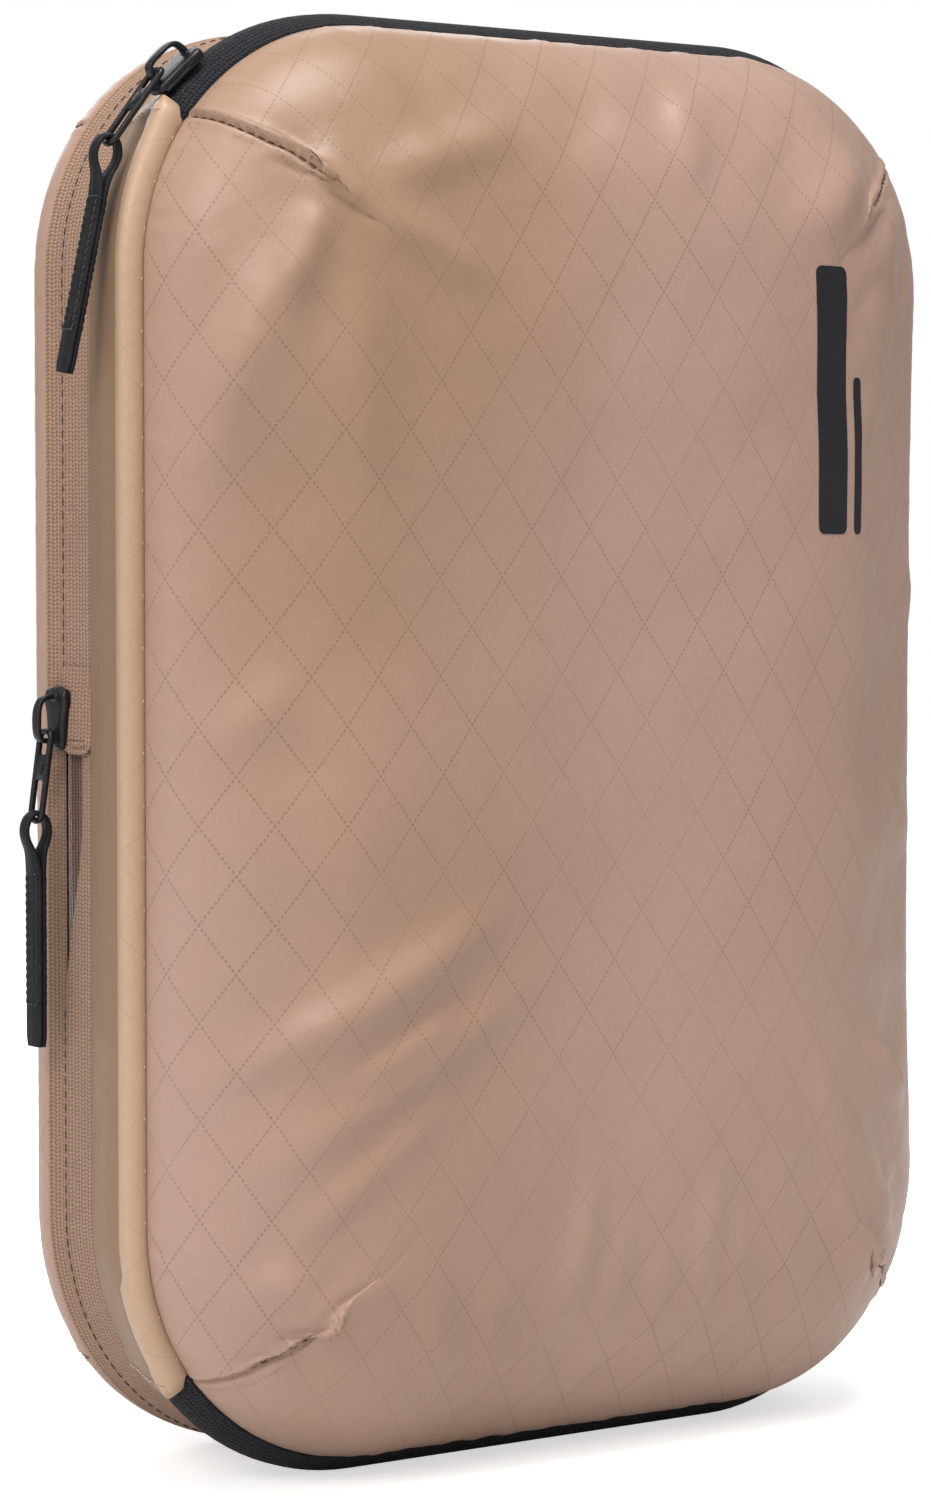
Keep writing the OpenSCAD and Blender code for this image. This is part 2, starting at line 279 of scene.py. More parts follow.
def loft(n, m, closed=False):
    """Quads between n rings of m points each. An open loft gets flat ends."""
    faces = []
    for k in range(n if closed else n - 1):
        j = (k + 1) % n
        for q in range(m):
            w = (q + 1) % m
            faces.append((k * m + q, k * m + w, j * m + w, j * m + q))
    if not closed:
        faces += [tuple(range(m))[::-1], tuple((n - 1) * m + q for q in range(m))]
    return faces


def tube(path, radius, sides, closed=False, normals=None):
    """Vertices and faces of a tube along a path in millimetres."""
    p = np.asarray(path, float)
    n = len(p)
    if closed:
        d = np.roll(p, -1, 0) - np.roll(p, 1, 0)
    else:
        d = np.gradient(p, axis=0)
    d /= np.linalg.norm(d, axis=1)[:, None] + 1e-12
    if normals is None:
        normals = np.tile((0.31, 0.17, 0.93), (n, 1))
    rad = np.broadcast_to(radius, (n,))
    verts = []
    for k in range(n):
        a = np.cross(d[k], normals[k])
        a /= np.linalg.norm(a) + 1e-12
        b = np.cross(a, d[k])
        for q in range(sides):
            t = 2 * math.pi * q / sides
            verts.append(p[k] + rad[k] * (math.cos(t) * a + math.sin(t) * b))
    return verts, loft(n, sides, closed)


def gather(name, parts, smooth=True):
    """One object from several (verts, faces) shells."""
    verts, faces = [], []
    for v, f in parts:
        base = len(verts)
        verts += list(v)
        faces += [tuple(i + base for i in face) for face in f]
    obj = make(name, np.array(verts), faces, smooth=smooth)
    fix_normals(obj)
    return obj


def stitch(a, b, up, radius=0.28, rise=0.16):
    """One thread stitch from a to b, arched off the cloth along up."""
    a, b, up = (np.asarray(v, float) for v in (a, b, up))
    t = np.array([0, 0.12, 0.5, 0.88, 1.0])
    h = np.array([-0.25, 0.55, 1.0, 0.55, -0.25]) * rise
    w = np.array([0.45, 0.9, 1.0, 0.9, 0.45]) * radius
    path = a + np.outer(t, b - a) + np.outer(h, up)
    return tube(path, w, 5, normals=np.tile(up, (5, 1)))


# ---- shading helpers

class Shade:
    """A small wrapper for building node materials."""

    def __init__(self, name, **sockets):
        self.mat = bpy.data.materials.new(name)
        self.mat.use_nodes = True
        self.tree = self.mat.node_tree
        self.bsdf = next(n for n in self.tree.nodes if n.type == "BSDF_PRINCIPLED")
        for key, value in sockets.items():
            self.bsdf.inputs[key.replace("_", " ")].default_value = value

    def node(self, kind, props=None, **inputs):
        n = self.tree.nodes.new(kind)
        for key, value in (props or {}).items():
            setattr(n, key, value)
        for key, value in inputs.items():
            name = int(key[1:]) if key[0] == "i" and key[1:].isdigit() else key.replace("_", " ")
            self.put(n.inputs[name], value)
        return n

    def put(self, socket, value):
        if isinstance(value, bpy.types.NodeSocket):
            self.tree.links.new(value, socket)
        else:
            socket.default_value = value

    def math(self, op, first, *others):
        for other in others or (0.0,):
            first = self.node("ShaderNodeMath", {"operation": op}, i0=first, i1=other).outputs[0]
        return first

    def mul(self, *values):
        return self.math("MULTIPLY", *values)

    def add(self, *values):
        return self.math("ADD", *values)

    def centred(self, x):
        return self.math("SUBTRACT", x, 0.5)

    def wave(self, x, period):
        return self.math("SINE", self.mul(x, 2 * math.pi / period))

    def from_whole(self, x):
        """Distance from x to the nearest whole number."""
        return self.math("ABSOLUTE", self.centred(self.math("FRACT", self.add(x, 0.5))))

    def fade(self, x, a, b, c=0.0, d=1.0):
        n = self.node("ShaderNodeMapRange", {"interpolation_type": "SMOOTHSTEP"},
                      Value=x, From_Min=a, From_Max=b, To_Min=c, To_Max=d)
        return n.outputs[0]

    def mix(self, fac, a, b):
        n = self.node("ShaderNodeMix", {"data_type": "RGBA"})
        self.put(n.inputs[0], fac)
        self.put(n.inputs[6], a)
        self.put(n.inputs[7], b)
        return n.outputs[2]

    def uv(self):
        return self.node("ShaderNodeUVMap", {"uv_map": "Cloth"}).outputs[0]

    def place(self):
        return self.node("ShaderNodeTexCoord").outputs["Object"]

    def split(self, vector):
        return self.node("ShaderNodeSeparateXYZ", Vector=vector).outputs

    def noise(self, vector, scale, detail=2.0, rough=0.5):
        return self.node("ShaderNodeTexNoise", Vector=vector, Scale=scale, Detail=detail,
                         Roughness=rough).outputs["Fac"]

    def cells(self, vector, scale):
        return self.node("ShaderNodeTexVoronoi", Vector=vector, Scale=scale).outputs["Distance"]

    def bump(self, height, strength, distance, normal=None):
        n = self.node("ShaderNodeBump", Height=height, Strength=strength, Distance=distance)
        if normal is not None:
            self.tree.links.new(normal, n.inputs["Normal"])
        return n.outputs[0]

    def set(self, **sockets):
        for key, value in sockets.items():
            self.put(self.bsdf.inputs[key.replace("_", " ")], value)
        return self.mat


def rgb(r, g, b):
    """Linear colour from sRGB bytes."""
    def lin(c):
        c /= 255
        return c / 12.92 if c <= 0.04045 else ((c + 0.055) / 1.055) ** 2.4
    return (lin(r), lin(g), lin(b), 1.0)


def darker(colour, share):
    return tuple(c * share for c in colour[:3]) + (1.0,)


DIAMOND_W = 0.0168
DIAMOND_H = 0.0233
DOTS_PER_SIDE = 11.0
THREAD_PITCH = 0.0007
LINE_SPACING = 1 / math.hypot(1 / DIAMOND_W, 1 / DIAMOND_H)


def ripstop(name, light, deep, dot, dot_strength, rough, haze, shine):
    """Coated satin weave with a diamond grid of fine dotted lines, and painted satin shade in its colour."""
    m = Shade(name, Sheen_Weight=haze, Sheen_Roughness=0.35, Specular_IOR_Level=shine)
    m.bsdf.inputs["Sheen Tint"].default_value = (1.0, 0.86, 0.8, 1.0)
    uv, p = m.uv(), m.place()
    u, v, _ = m.split(uv)
    u = m.add(u, m.mul(m.centred(m.noise(uv, 60.0)), 0.0006))
    su, sv = m.math("DIVIDE", u, DIAMOND_W), m.math("DIVIDE", v, DIAMOND_H)
    a, b = m.add(su, sv), m.math("SUBTRACT", su, sv)

    def family(across, along):
        line = m.fade(m.mul(m.from_whole(across), LINE_SPACING), 0.00014, 0.00036, 1.0, 0.0)
        beat = m.math("FRACT", m.add(m.mul(along, DOTS_PER_SIDE), 0.5))
        return m.mul(line, m.fade(m.math("ABSOLUTE", m.centred(beat)), 0.2, 0.36, 1.0, 0.0))

    mask = m.math("MAXIMUM", family(a, b), family(b, a))
    # Painted satin shade: a darker golden band left of centre (x from -0.125 to 0.01 m) and broad noise
    # patches blend the colour from light to deep, standing in for the satin's sheen turning away from the
    # lamps.
    x = m.split(p)[0]
    painted_satin_shade = m.mul(m.fade(x, -0.125, -0.08), m.fade(x, -0.05, 0.01, 1.0, 0.0))
    painted_satin_shade = m.add(m.fade(m.noise(p, 6.5), 0.36, 0.64, 0.0, 0.45), m.mul(painted_satin_shade, 0.55))
    grain = m.noise(uv, 1700.0, 2.0, 0.6)
    threads = m.mul(m.wave(u, THREAD_PITCH), m.wave(v, THREAD_PITCH))
    base = m.mix(painted_satin_shade, light, deep)
    base = m.mix(m.fade(grain, 0.25, 0.75, 0.0, 0.16), base, darker(deep, 0.55))
    base = m.mix(m.fade(threads, -1.0, 1.0, 0.0, 0.16), base, darker(deep, 0.6))
    worn = m.fade(m.noise(p, 16.0), 0.35, 0.62, 0.45, 1.0)
    colour = m.mix(m.mul(mask, worn, dot_strength), base, dot)
    height = m.add(m.mul(threads, 0.12), m.mul(mask, -0.5), m.mul(grain, 0.35))
    normal = m.bump(m.noise(p, 85.0, 3.0, 0.55), 0.34, 0.0012)
    normal = m.bump(height, 0.35, 0.0002, normal)
    roughness = m.fade(m.noise(p, 40.0), 0.3, 0.7, rough - 0.05, rough + 0.07)
    return m.set(Base_Color=colour, Roughness=roughness, Normal=normal)


def knit(name, colour, shadow, wale, course, depth, fuzz, tangle=4.5):
    """Knitted zipper tape: slanted loops in rows along the tape."""
    m = Shade(name, Sheen_Weight=fuzz, Sheen_Roughness=0.5, Specular_IOR_Level=0.25)
    uv = m.uv()
    u, v, _ = m.split(uv)
    jitter = m.mul(m.centred(m.noise(uv, 700.0, 3.0, 0.6)), tangle)
    row = m.mul(v, 2 * math.pi / course)
    lean = m.mul(m.math("SINE", m.mul(row, 0.5)), 1.2)
    loops = m.math("SINE", m.add(m.mul(u, 2 * math.pi / wale), lean, jitter))
    rows = m.math("SINE", m.add(row, jitter))
    weave = m.add(m.mul(m.add(loops, rows), 0.25), 0.5)
    tone = m.add(m.mul(weave, 0.7), m.mul(m.noise(uv, 2600.0, 3.0, 0.7), 0.3))
    base = m.mix(m.fade(tone, 0.2, 0.8), shadow, colour)
    base = m.mix(m.fade(m.noise(m.place(), 30.0), 0.3, 0.7, 0.0, 0.12), base, shadow)
    return m.set(Base_Color=base, Roughness=0.85, Normal=m.bump(tone, depth, 0.0005))


def enamel(name, colour):
    """Satin black enamel on die-cast metal, with rubbed spots."""
    m = Shade(name, Specular_IOR_Level=0.38, Coat_Weight=0.05, Coat_Roughness=0.3)
    p = m.place()
    rub = m.fade(m.noise(p, 420.0, 3.0, 0.6), 0.55, 0.75)
    base = m.mix(m.mul(rub, 0.25), colour, rgb(52, 52, 57))
    roughness = m.fade(m.noise(p, 90.0, 3.0), 0.3, 0.7, 0.3, 0.48)
    return m.set(Base_Color=base, Roughness=roughness, Normal=m.bump(m.noise(p, 1500.0), 0.12, 0.0002))


def strap_hide(name, colour):
    """Matte black strap with a fine pebbled grain."""
    m = Shade(name, Specular_IOR_Level=0.22)
    p = m.place()
    wear = m.fade(m.noise(p, 160.0, 3.0), 0.45, 0.75, 0.0, 0.3)
    height = m.add(m.cells(p, 1500.0), m.mul(m.noise(p, 500.0), 0.6))
    roughness = m.fade(m.noise(p, 200.0), 0.3, 0.7, 0.5, 0.68)
    return m.set(Base_Color=m.mix(wear, colour, rgb(48, 48, 52)), Roughness=roughness,
                 Normal=m.bump(height, 0.35, 0.0003))


def thread(name, colour):
    m = Shade(name, Sheen_Weight=0.3, Specular_IOR_Level=0.3)
    twist = m.node("ShaderNodeTexWave", Vector=m.place(), Scale=900.0, Distortion=2.0).outputs["Fac"]
    return m.set(Base_Color=m.mix(m.mul(twist, 0.35), colour, darker(colour, 0.5)), Roughness=0.7,
                 Normal=m.bump(twist, 0.4, 0.0002))


def coil_plastic(name, colour):
    m = Shade(name, Specular_IOR_Level=0.5)
    p = m.place()
    tone = m.noise(p, 300.0)
    return m.set(Base_Color=m.mix(m.mul(tone, 0.3), colour, darker(colour, 0.6)),
                 Roughness=m.fade(tone, 0.3, 0.7, 0.32, 0.48),
                 Normal=m.bump(m.noise(p, 1800.0), 0.1, 0.0002))


def print_ink(name):
    m = Shade(name, Specular_IOR_Level=0.4)
    speck = m.noise(m.place(), 1400.0, 3.0, 0.7)
    base = m.mix(m.fade(speck, 0.62, 0.75, 0.0, 0.35), rgb(24, 24, 28), rgb(66, 60, 58))
    return m.set(Base_Color=base, Roughness=m.fade(speck, 0.3, 0.7, 0.45, 0.62),
                 Normal=m.bump(speck, 0.25, 0.0002))


def backing(name, colour):
    """Plain coated wrong side and ribbed tapes inside the case."""
    m = Shade(name, Sheen_Weight=0.15, Specular_IOR_Level=0.3)
    uv = m.uv()
    u, v, _ = m.split(uv)
    lint = m.noise(uv, 1800.0)
    height = m.add(m.wave(v, 0.0009), m.mul(m.wave(u, 0.0012), 0.5), lint)
    base = m.mix(m.fade(lint, 0.3, 0.7, 0.0, 0.3), colour, darker(colour, 0.6))
    return m.set(Base_Color=base, Roughness=0.8, Normal=m.bump(height, 0.4, 0.0003))


# The light and deep colours of each ripstop are blended by its painted satin shade.
RIPSTOP = ripstop("ripstop_tan", rgb(181, 149, 135), rgb(161, 129, 105), rgb(114, 86, 62), 0.5, 0.39, 0.15,
                  0.42)
# The roll and the strip are one cloth in two copies: the roll's lighter colours are a painted highlight, the
# strip's darker colours a painted shade.
ROLL_CLOTH_PAINTED_HIGHLIGHT = ripstop("ripstop_roll_painted_highlight", rgb(195, 164, 138), rgb(181, 150, 123), rgb(142, 113, 85), 0.2, 0.4, 0.0,
                     0.35)
STRIP_CLOTH_PAINTED_SHADE = ripstop("ripstop_strip_painted_shade", rgb(147, 118, 94), rgb(134, 106, 82), rgb(112, 86, 63), 0.2, 0.42, 0.0,
                      0.25)
TAN_KNIT = knit("knit_tan", rgb(170, 137, 114), rgb(124, 95, 76), 0.0010, 0.0016, 0.8, 0.12)
BLACK_KNIT = knit("knit_black", rgb(46, 46, 52), rgb(6, 6, 8), 0.0011, 0.0012, 1.0, 0.05, 11.0)
GUSSET = backing("gusset_weave", rgb(112, 82, 64))
BINDING = backing("binding_rib", rgb(122, 98, 82))
ENAMEL = enamel("enamel_black", rgb(18, 17, 21))
HIDE = strap_hide("strap_black", rgb(24, 24, 27))
DARK_THREAD = thread("thread_brown", rgb(92, 60, 43))
TAN_THREAD = thread("thread_tan", rgb(214, 184, 160))
BLACK_THREAD = thread("thread_black", rgb(30, 30, 33))
BLACK_COIL = coil_plastic("coil_black", rgb(28, 28, 30))
TAN_COIL = coil_plastic("coil_tan", rgb(128, 98, 78))
INK = print_ink("print_black")


# ---- filled panels

RINGS = 38
DART_LENGTH = 44.0
DART_TURN = math.radians(37)
GRADE = 0.34
DART_SPLITS = {"LB": ((0, 2, 3), (0, 1, 2)), "RB": ((1, 2, 3), (0, 1, 3)),
               "RT": ((0, 1, 2), (0, 2, 3)), "LT": ((0, 1, 3), (1, 2, 3))}


def profile(reach, rise, power, overhang):
    """The panel's section from its seam to its crest, evenly spaced along the cloth."""
    t = np.radians(np.linspace(0, 90, 900))
    inset = reach * (1 - np.cos(t)) ** power - np.where(t < math.pi / 4, overhang * np.sin(4 * t), 0)
    up = rise * np.sin(t)
    tuck = np.array([[2.6, -1.4], [0.7, -0.7]])
    curve = np.vstack([tuck, np.stack([inset, up], 1)])
    run = np.concatenate([[0], np.cumsum(np.linalg.norm(np.diff(curve, axis=0), axis=1))])
    run -= run[2]
    at = np.concatenate([[run[0], run[1]], np.linspace(0, run[-1], RINGS - 1)])
    return np.interp(at, run, curve[:, 0]), np.interp(at, run, curve[:, 1]), at


def corner_radius(seam_r, inset, half):
    r = CORNER_R + seam_r - 1.2 * np.clip(inset, 0, 28) - 0.28 * np.clip(inset - 28, 0, None)
    return np.clip(np.minimum(r, half), 0.0, None)


def ring_point(f, hw, hh, r, c, share):
    """A point on one side of a ring: f from -1 to 1 between the dart lines of its two corners."""
    g = (1 + c) * f - c * f ** 3
    a = g * (hh - r + r * share)
    if abs(a) <= hh - r:
        return hw, a, 1.0, 0.0
    ang = (abs(a) - (hh - r)) / max(r, 1e-6)
    sgn = math.copysign(1, a)
    cos, sin = math.cos(ang), math.sin(ang)
    return hw - r + r * cos, sgn * (hh - r + r * sin), cos, sgn * sin


def filled_panel(name, seam_r, seam_y, facing, rise, power, overhang):
    """The panel as a grid whose diagonals are the dart lines. facing is -1 for the front."""
    reach = HALF_W + seam_r
    inset, up, run = profile(reach, rise, power, overhang)
    K = len(inset) - 1
    extra = 30
    nx, nz = 2 * K, 2 * K + extra
    spare = (run[-1] - run) - (inset[-1] - inset)
    pts = np.zeros((nx + 1, nz + 1, 3))
    weight = np.zeros((nx + 1, nz + 1, 2))
    ring = np.zeros((nx + 1, nz + 1), int)
    away = np.zeros((nx + 1, nz + 1))
    for i in range(nx + 1):
        for j in range(nz + 1):
            d = min(i, nx - i, j, nz - j)
            hw, hh = max(reach - inset[d], 0.0), HALF_H + seam_r - inset[d]
            r = corner_radius(seam_r, inset[d], hw)
            c = GRADE * (1 - float(smooth_step(0.35, 0.85, d / K)))
            upright = min(i, nx - i) == d
            if upright:
                n, k, out, half, share = nz - 2 * d, j - d, hw, hh, DART_TURN
                sign = -1 if i == d and i != nx - d else 1
            else:
                n, k, out, half, share = nx - 2 * d, i - d, hh, hw, math.pi / 2 - DART_TURN
                sign = -1 if j == d else 1
            f = (2 * k / n - 1) if n else 0.0
            a, b, na, nb = ring_point(f, out, half, r, c, share)
            away[i, j] = (1 if upright else -1) * (1 - abs(f)) * (half - r + r * share)
            x, z = (sign * a, b) if upright else (b, sign * a)
            pts[i, j] = (x, seam_y + facing * up[d], HALF_H + z)
            weight[i, j] = (na ** 2, nb ** 2) if upright else (nb ** 2, na ** 2)
            ring[i, j] = d

    soft = smooth_step(DART_LENGTH - 12, DART_LENGTH + 4, run)
    faces, uvs = [], []

    def cloth(i, j, side):
        d = ring[i, j]
        x, _, z = pts[i, j]
        hard = np.array((1.0, 0.0) if side in "LR" else (0.0, 1.0))
        wx, wz = (1 - soft[d]) * hard + soft[d] * weight[i, j]
        sx = {"L": -1, "R": 1}.get(side, math.copysign(1, x))
        sz = {"B": -1, "T": 1}.get(side, math.copysign(1, z - HALF_H))
        return ((x + sx * wx * spare[d]) * MM, (z + sz * wz * spare[d]) * MM)

    def face(corners, side):
        if facing > 0:
            corners = corners[::-1]
        faces.append(tuple(i * (nz + 1) + j for i, j in corners))
        uvs.extend(cloth(i, j, side) for i, j in corners)

    for i in range(nx):
        for j in range(nz):
            d = min(i, nx - 1 - i, j, nz - 1 - j)
            quad = [(i, j), (i + 1, j), (i + 1, j + 1), (i, j + 1)]
            sides = "L" if i == d else "R" if nx - 1 - i == d else ""
            sides += "B" if j == d else "T" if nz - 1 - j == d else ""
            if len(sides) == 1:
                face(quad, sides)
                continue
            for side, corners in zip(sides, DART_SPLITS[sides]):
                face([quad[k] for k in corners], side)
    obj = make(name, settle(pts.reshape(-1, 3)), faces, loop_uv=uvs)
    for key, value in (("run", run[ring]), ("away", away)):
        attr = obj.data.attributes.new(key, "FLOAT", "POINT")
        attr.data.foreach_set("value", value.ravel().astype(np.float32))
    uv = np.array(uvs)
    at, area = 0, 0.0
    for corners in faces:
        u, v = uv[at:at + len(corners)].T
        area += abs(np.dot(u, np.roll(v, -1)) - np.dot(v, np.roll(u, -1))) / 2
        at += len(corners)
    span = 2 * (run[-1] - run[0])
    obj["cut"] = [span * MM, (span + 2 * (HALF_H - HALF_W)) * MM, area]
    return obj


def coords(mesh):
    co = np.zeros(len(mesh.vertices) * 3, np.float32)
    mesh.vertices.foreach_get("co", co)
    return co.reshape(-1, 3).astype(float)


def set_coords(mesh, co):
    mesh.vertices.foreach_set("co", np.asarray(co, np.float32).ravel())
    mesh.update()


def normals(mesh):
    n = np.zeros(len(mesh.vertices) * 3, np.float32)
    mesh.vertex_normals.foreach_get("vector", n)
    return n.reshape(-1, 3).astype(float)


def values(mesh, name):
    v = np.zeros(len(mesh.vertices), np.float32)
    mesh.attributes[name].data.foreach_get("value", v)
    return v.astype(float)


def bake(obj):
    """Applies the object's modifiers to its mesh."""
    graph = bpy.context.evaluated_depsgraph_get()
    mesh = bpy.data.meshes.new_from_object(obj.evaluated_get(graph), preserve_all_data_layers=True,
                                           depsgraph=graph)
    old = obj.data
    name = old.name
    obj.modifiers.clear()
    obj.data = mesh
    bpy.data.meshes.remove(old)
    mesh.name = name
    return mesh


def subdivide(obj, levels):
    sub = obj.modifiers.new("Subdivision", "SUBSURF")
    sub.levels = sub.render_levels = levels
    sub.uv_smooth = "PRESERVE_BOUNDARIES"
    bpy.context.view_layer.update()
    return bake(obj)


def ridge_field(xz, folds):
    """Sum of soft folds: (x0, z0, x1, z1, width, height), tapering at both ends."""
    total = np.zeros(len(xz))
    for x0, z0, x1, z1, width, height in folds:
        a, b = np.array([x0, z0]), np.array([x1, z1])
        d = b - a
        length = np.linalg.norm(d)
        t = ((xz - a) @ d) / length ** 2
        off = (xz - a) @ np.array([-d[1], d[0]]) / length
        ends = smooth_step(-0.15, 0.35, t) * (1 - smooth_step(0.65, 1.15, t))
        total += height * ends * np.exp(-((off / width) ** 2))
    return total


def lumps(co, scale, seed):
    """Slow unevenness from what is packed inside, from -1 to 1."""
    shift = Vector((seed * 7.3, seed * 3.1, seed * 5.7))
    return np.array([noise.noise(Vector(p) / scale + shift) for p in co])


def press(obj, pressure, slack, frames, cap):
    """Cloth simulation: the panel is held at its seam and filled from inside. cap is in metres."""
    rest = coords(obj.data)
    group = obj.vertex_groups.new(name="seam")
    run = values(obj.data, "run")
    for k in np.nonzero(run < 3.0)[0]:
        group.add([int(k)], 1.0, "REPLACE")
    cloth = obj.modifiers.new("Cloth", "CLOTH")
    s = cloth.settings
    s.quality = 5
    s.mass = 0.15
    s.tension_stiffness = s.compression_stiffness = 12
    s.shear_stiffness = 4
    s.bending_stiffness = 0.35
    s.vertex_group_mass = "seam"
    s.effector_weights.gravity = 0
    s.use_pressure = True
    s.uniform_pressure_force = pressure
    s.shrink_min = -slack
    cloth.collision_settings.use_collision = False
    start = scene.frame_current
    for f in range(1, frames + 1):
        scene.frame_set(f)
    graph = bpy.context.evaluated_depsgraph_get()
    moved = coords(obj.evaluated_get(graph).to_mesh())
    obj.modifiers.clear()
    scene.frame_set(start)
    shift = moved - rest
    size = np.linalg.norm(shift, axis=1)
    scale = np.where(size > 1e-9, cap * np.tanh(size / cap) / np.maximum(size, 1e-9), 0)
    held = smooth_step(0, 45, run)
    set_coords(obj.data, rest + shift * (scale * held)[:, None])


def dart_relief(run, away, side, width=1.3):
    """The sunk seam of a dart, and the cloth that stands up on one side of it."""
    along = smooth_step(-2, 4, run) * (1 - smooth_step(DART_LENGTH - 3, DART_LENGTH + 2, run))
    groove = -1.5 * np.exp(-((away / width) ** 2))
    lip = 2.1 * np.exp(-(((away * side - 3.4) / 2.4) ** 2)) * (0.6 + 0.4 * smooth_step(8, 34, run))
    far_lip = 0.7 * np.exp(-(((away * side + 4.5) / 3.0) ** 2))
    tip = np.exp(-(((run - DART_LENGTH) / 5.0) ** 2)) * np.exp(-(((away * side - 2.0) / 4.0) ** 2))
    peak = np.exp(-(((run - DART_LENGTH - 1) / 15.0) ** 2)) * np.exp(-((away / 15.0) ** 2))
    return along * (groove + lip + far_lip) + 2.0 * tip + 3.0 * peak


def puckers(s_param, run, pitch, seed):
    """Fine gathers that start at the seam and fade within a few millimetres."""
    wave = np.array([noise.noise(Vector((s / pitch, seed, 0))) for s in s_param])
    return wave * np.exp(-((np.clip(run, 0, None) / 9.0) ** 1.3))


FRONT_FOLDS = [
    (-108, 102, -45, 140, 6.0, 2.6), (-96, 84, -36, 122, 5.0, 1.8), (-84, 100, -54, 118, 3.5, 1.6),
    (-92, 66, -56, 98, 5.0, 1.3), (-88, 308, -106, 262, 7.0, 2.0), (-80, 304, -78, 236, 8.0, 1.5),
    (-86, 312, -98, 284, 4.0, 1.4), (-72, 316, -30, 330, 6.0, 1.8), (-74, 308, -44, 292, 5.0, 1.4),
    (-100, 300, -112, 240, 5.0, 1.3), (-20, 38, -13, 74, 4.0, 1.5), (-8, 32, -3, 62, 3.6, 1.1),
    (22, 32, 25, 72, 4.0, 1.4), (36, 30, 34, 58, 3.6, 1.0), (88, 34, 62, 64, 5.0, 2.0),
    (94, 46, 66, 86, 5.0, 1.5), (100, 84, 80, 100, 4.0, 2.2), (80, 330, 58, 306, 7.0, 2.0),
    (94, 316, 80, 276, 7.0, 1.8), (28, 344, 20, 318, 6.0, 1.0), (-84, 44, -100, 58, 4.5, 1.6),
    (-52, 28, -64, 58, 5.0, 1.2), (-38, 26, -43, 52, 4.5, 1.0),
    (58, 26, 48, 52, 4.5, 1.2), (104, 150, 88, 172, 6.0, 1.4), (106, 210, 92, 236, 6.0, 1.2),
    (-110, 180, -90, 200, 6.0, 0.9), (8, 28, 11, 54, 3.5, 0.9), (72, 60, 58, 96, 5.0, 1.1),
]

BACK_FOLDS = [
    (90, 44, 52, 84, 7.0, 1.6), (-92, 40, -60, 78, 7.0, 1.5), (88, 318, 60, 282, 8.0, 1.4),
    (-90, 320, -66, 280, 8.0, 1.4), (20, 36, 16, 70, 5.0, 0.9), (-28, 34, -22, 64, 5.0, 0.9),
    (104, 200, 70, 214, 7.0, 1.0), (-104, 150, -70, 138, 7.0, 1.1), (0, 340, 6, 306, 7.0, 0.8),
]


def build_panel(name, seam_r, seam_y, facing, rise, power, overhang, folds, seed, gather_depth, dart_depth):
    obj = filled_panel(name, seam_r, seam_y, facing, rise, power, overhang)
    press(obj, 3.0, 0.012, 14, 0.0035)
    mesh = subdivide(obj, 1)
    co, n = coords(mesh), normals(mesh)
    run, away = values(mesh, "run"), values(mesh, "away")
    xz = co[:, [0, 2]] / MM
    inner = smooth_step(4, 30, run)
    lift = 1.5 * ridge_field(xz, folds) * smooth_step(0, 10, run)
    lift += 2.6 * lumps(co / MM, 70.0, seed) * inner
    lift += 0.8 * lumps(co / MM, 24.0, seed + 1) * inner
    around = xz[:, 0] + 1.7 * xz[:, 1]
    lift += gather_depth * puckers(around, run, 5.0, seed) * smooth_step(0, 3, run)
    side = np.where(xz[:, 1] > HALF_H, -1.0, 1.0)
    lift += dart_depth * np.where(xz[:, 0] > 0, 0.45, 1.0) * dart_relief(run, away, side)
    co += n * lift[:, None] * MM
    co[:, 2] = np.maximum(co[:, 2], 0.0002)
    set_coords(mesh, co)
    return obj


def dart_stitches(name, cloth, body):
    """Thread along the four darts, laid on the finished cloth."""
    mesh = cloth.data
    co, n = coords(mesh) / MM, normals(mesh)
    run, away = values(mesh, "run"), values(mesh, "away")
    parts = []
    for sx in (-1, 1):
        for sz in (-1, 1):
            near = (np.abs(away) < 0.35) & (run > 1.0) & (run < DART_LENGTH)
            near &= (co[:, 0] * sx > 0) & ((co[:, 2] - HALF_H) * sz > 0)
            order = np.argsort(run[near])
            line, up, at = co[near][order], n[near][order], run[near][order]
            if len(line) < 4:
                continue
            for a in np.arange(2.0, DART_LENGTH - 2.5, 2.9):
                ends = [np.array([np.interp(v, at, line[:, k]) for k in range(3)]) for v in (a, a + 1.9)]
                mid = np.array([np.interp(a + 1, at, up[:, k]) for k in range(3)])
                parts.append(stitch(ends[0] + mid * 0.25, ends[1] + mid * 0.25, mid, 0.24, 0.3))
    obj = gather(name, parts)
    return finish_piece(obj, DARK_THREAD, body, "ripstop")


def thicken(obj, amount):
    solid = obj.modifiers.new("Thickness", "SOLIDIFY")
    solid.thickness = amount * MM
    solid.offset = -1
    solid.use_even_offset = False
    return obj


front = build_panel("front_cloth", FRONT_SEAM_R, FRONT_SEAM_Y, -1, 35.0, 1.28, -1.2, FRONT_FOLDS, 3, 0.8, 1.0)
dart_stitches("front_dart_stitches", front, "lid")
thicken(front, 0.6)
finish_piece(front, RIPSTOP, "lid", "ripstop", "front_panel")

back = build_panel("back_cloth", BACK_SEAM_R, BACK_SEAM_Y, 1, 27.0, 1.28, 0.5, BACK_FOLDS, 11, 0.3, 0.35)
dart_stitches("back_dart_stitches", back, "back_shell")
thicken(back, 0.6)
finish_piece(back, RIPSTOP, "back_shell", "ripstop", "back_panel")


# ---- bands of the side wall

ZIP = stations(STRIP_END_S, AROUND - STRIP_END_S)
HINGE = stations(-STRIP_END_S - 2.5, STRIP_END_S + 2.5, 3.0)
LOOP = stations(0, AROUND)[:-1]

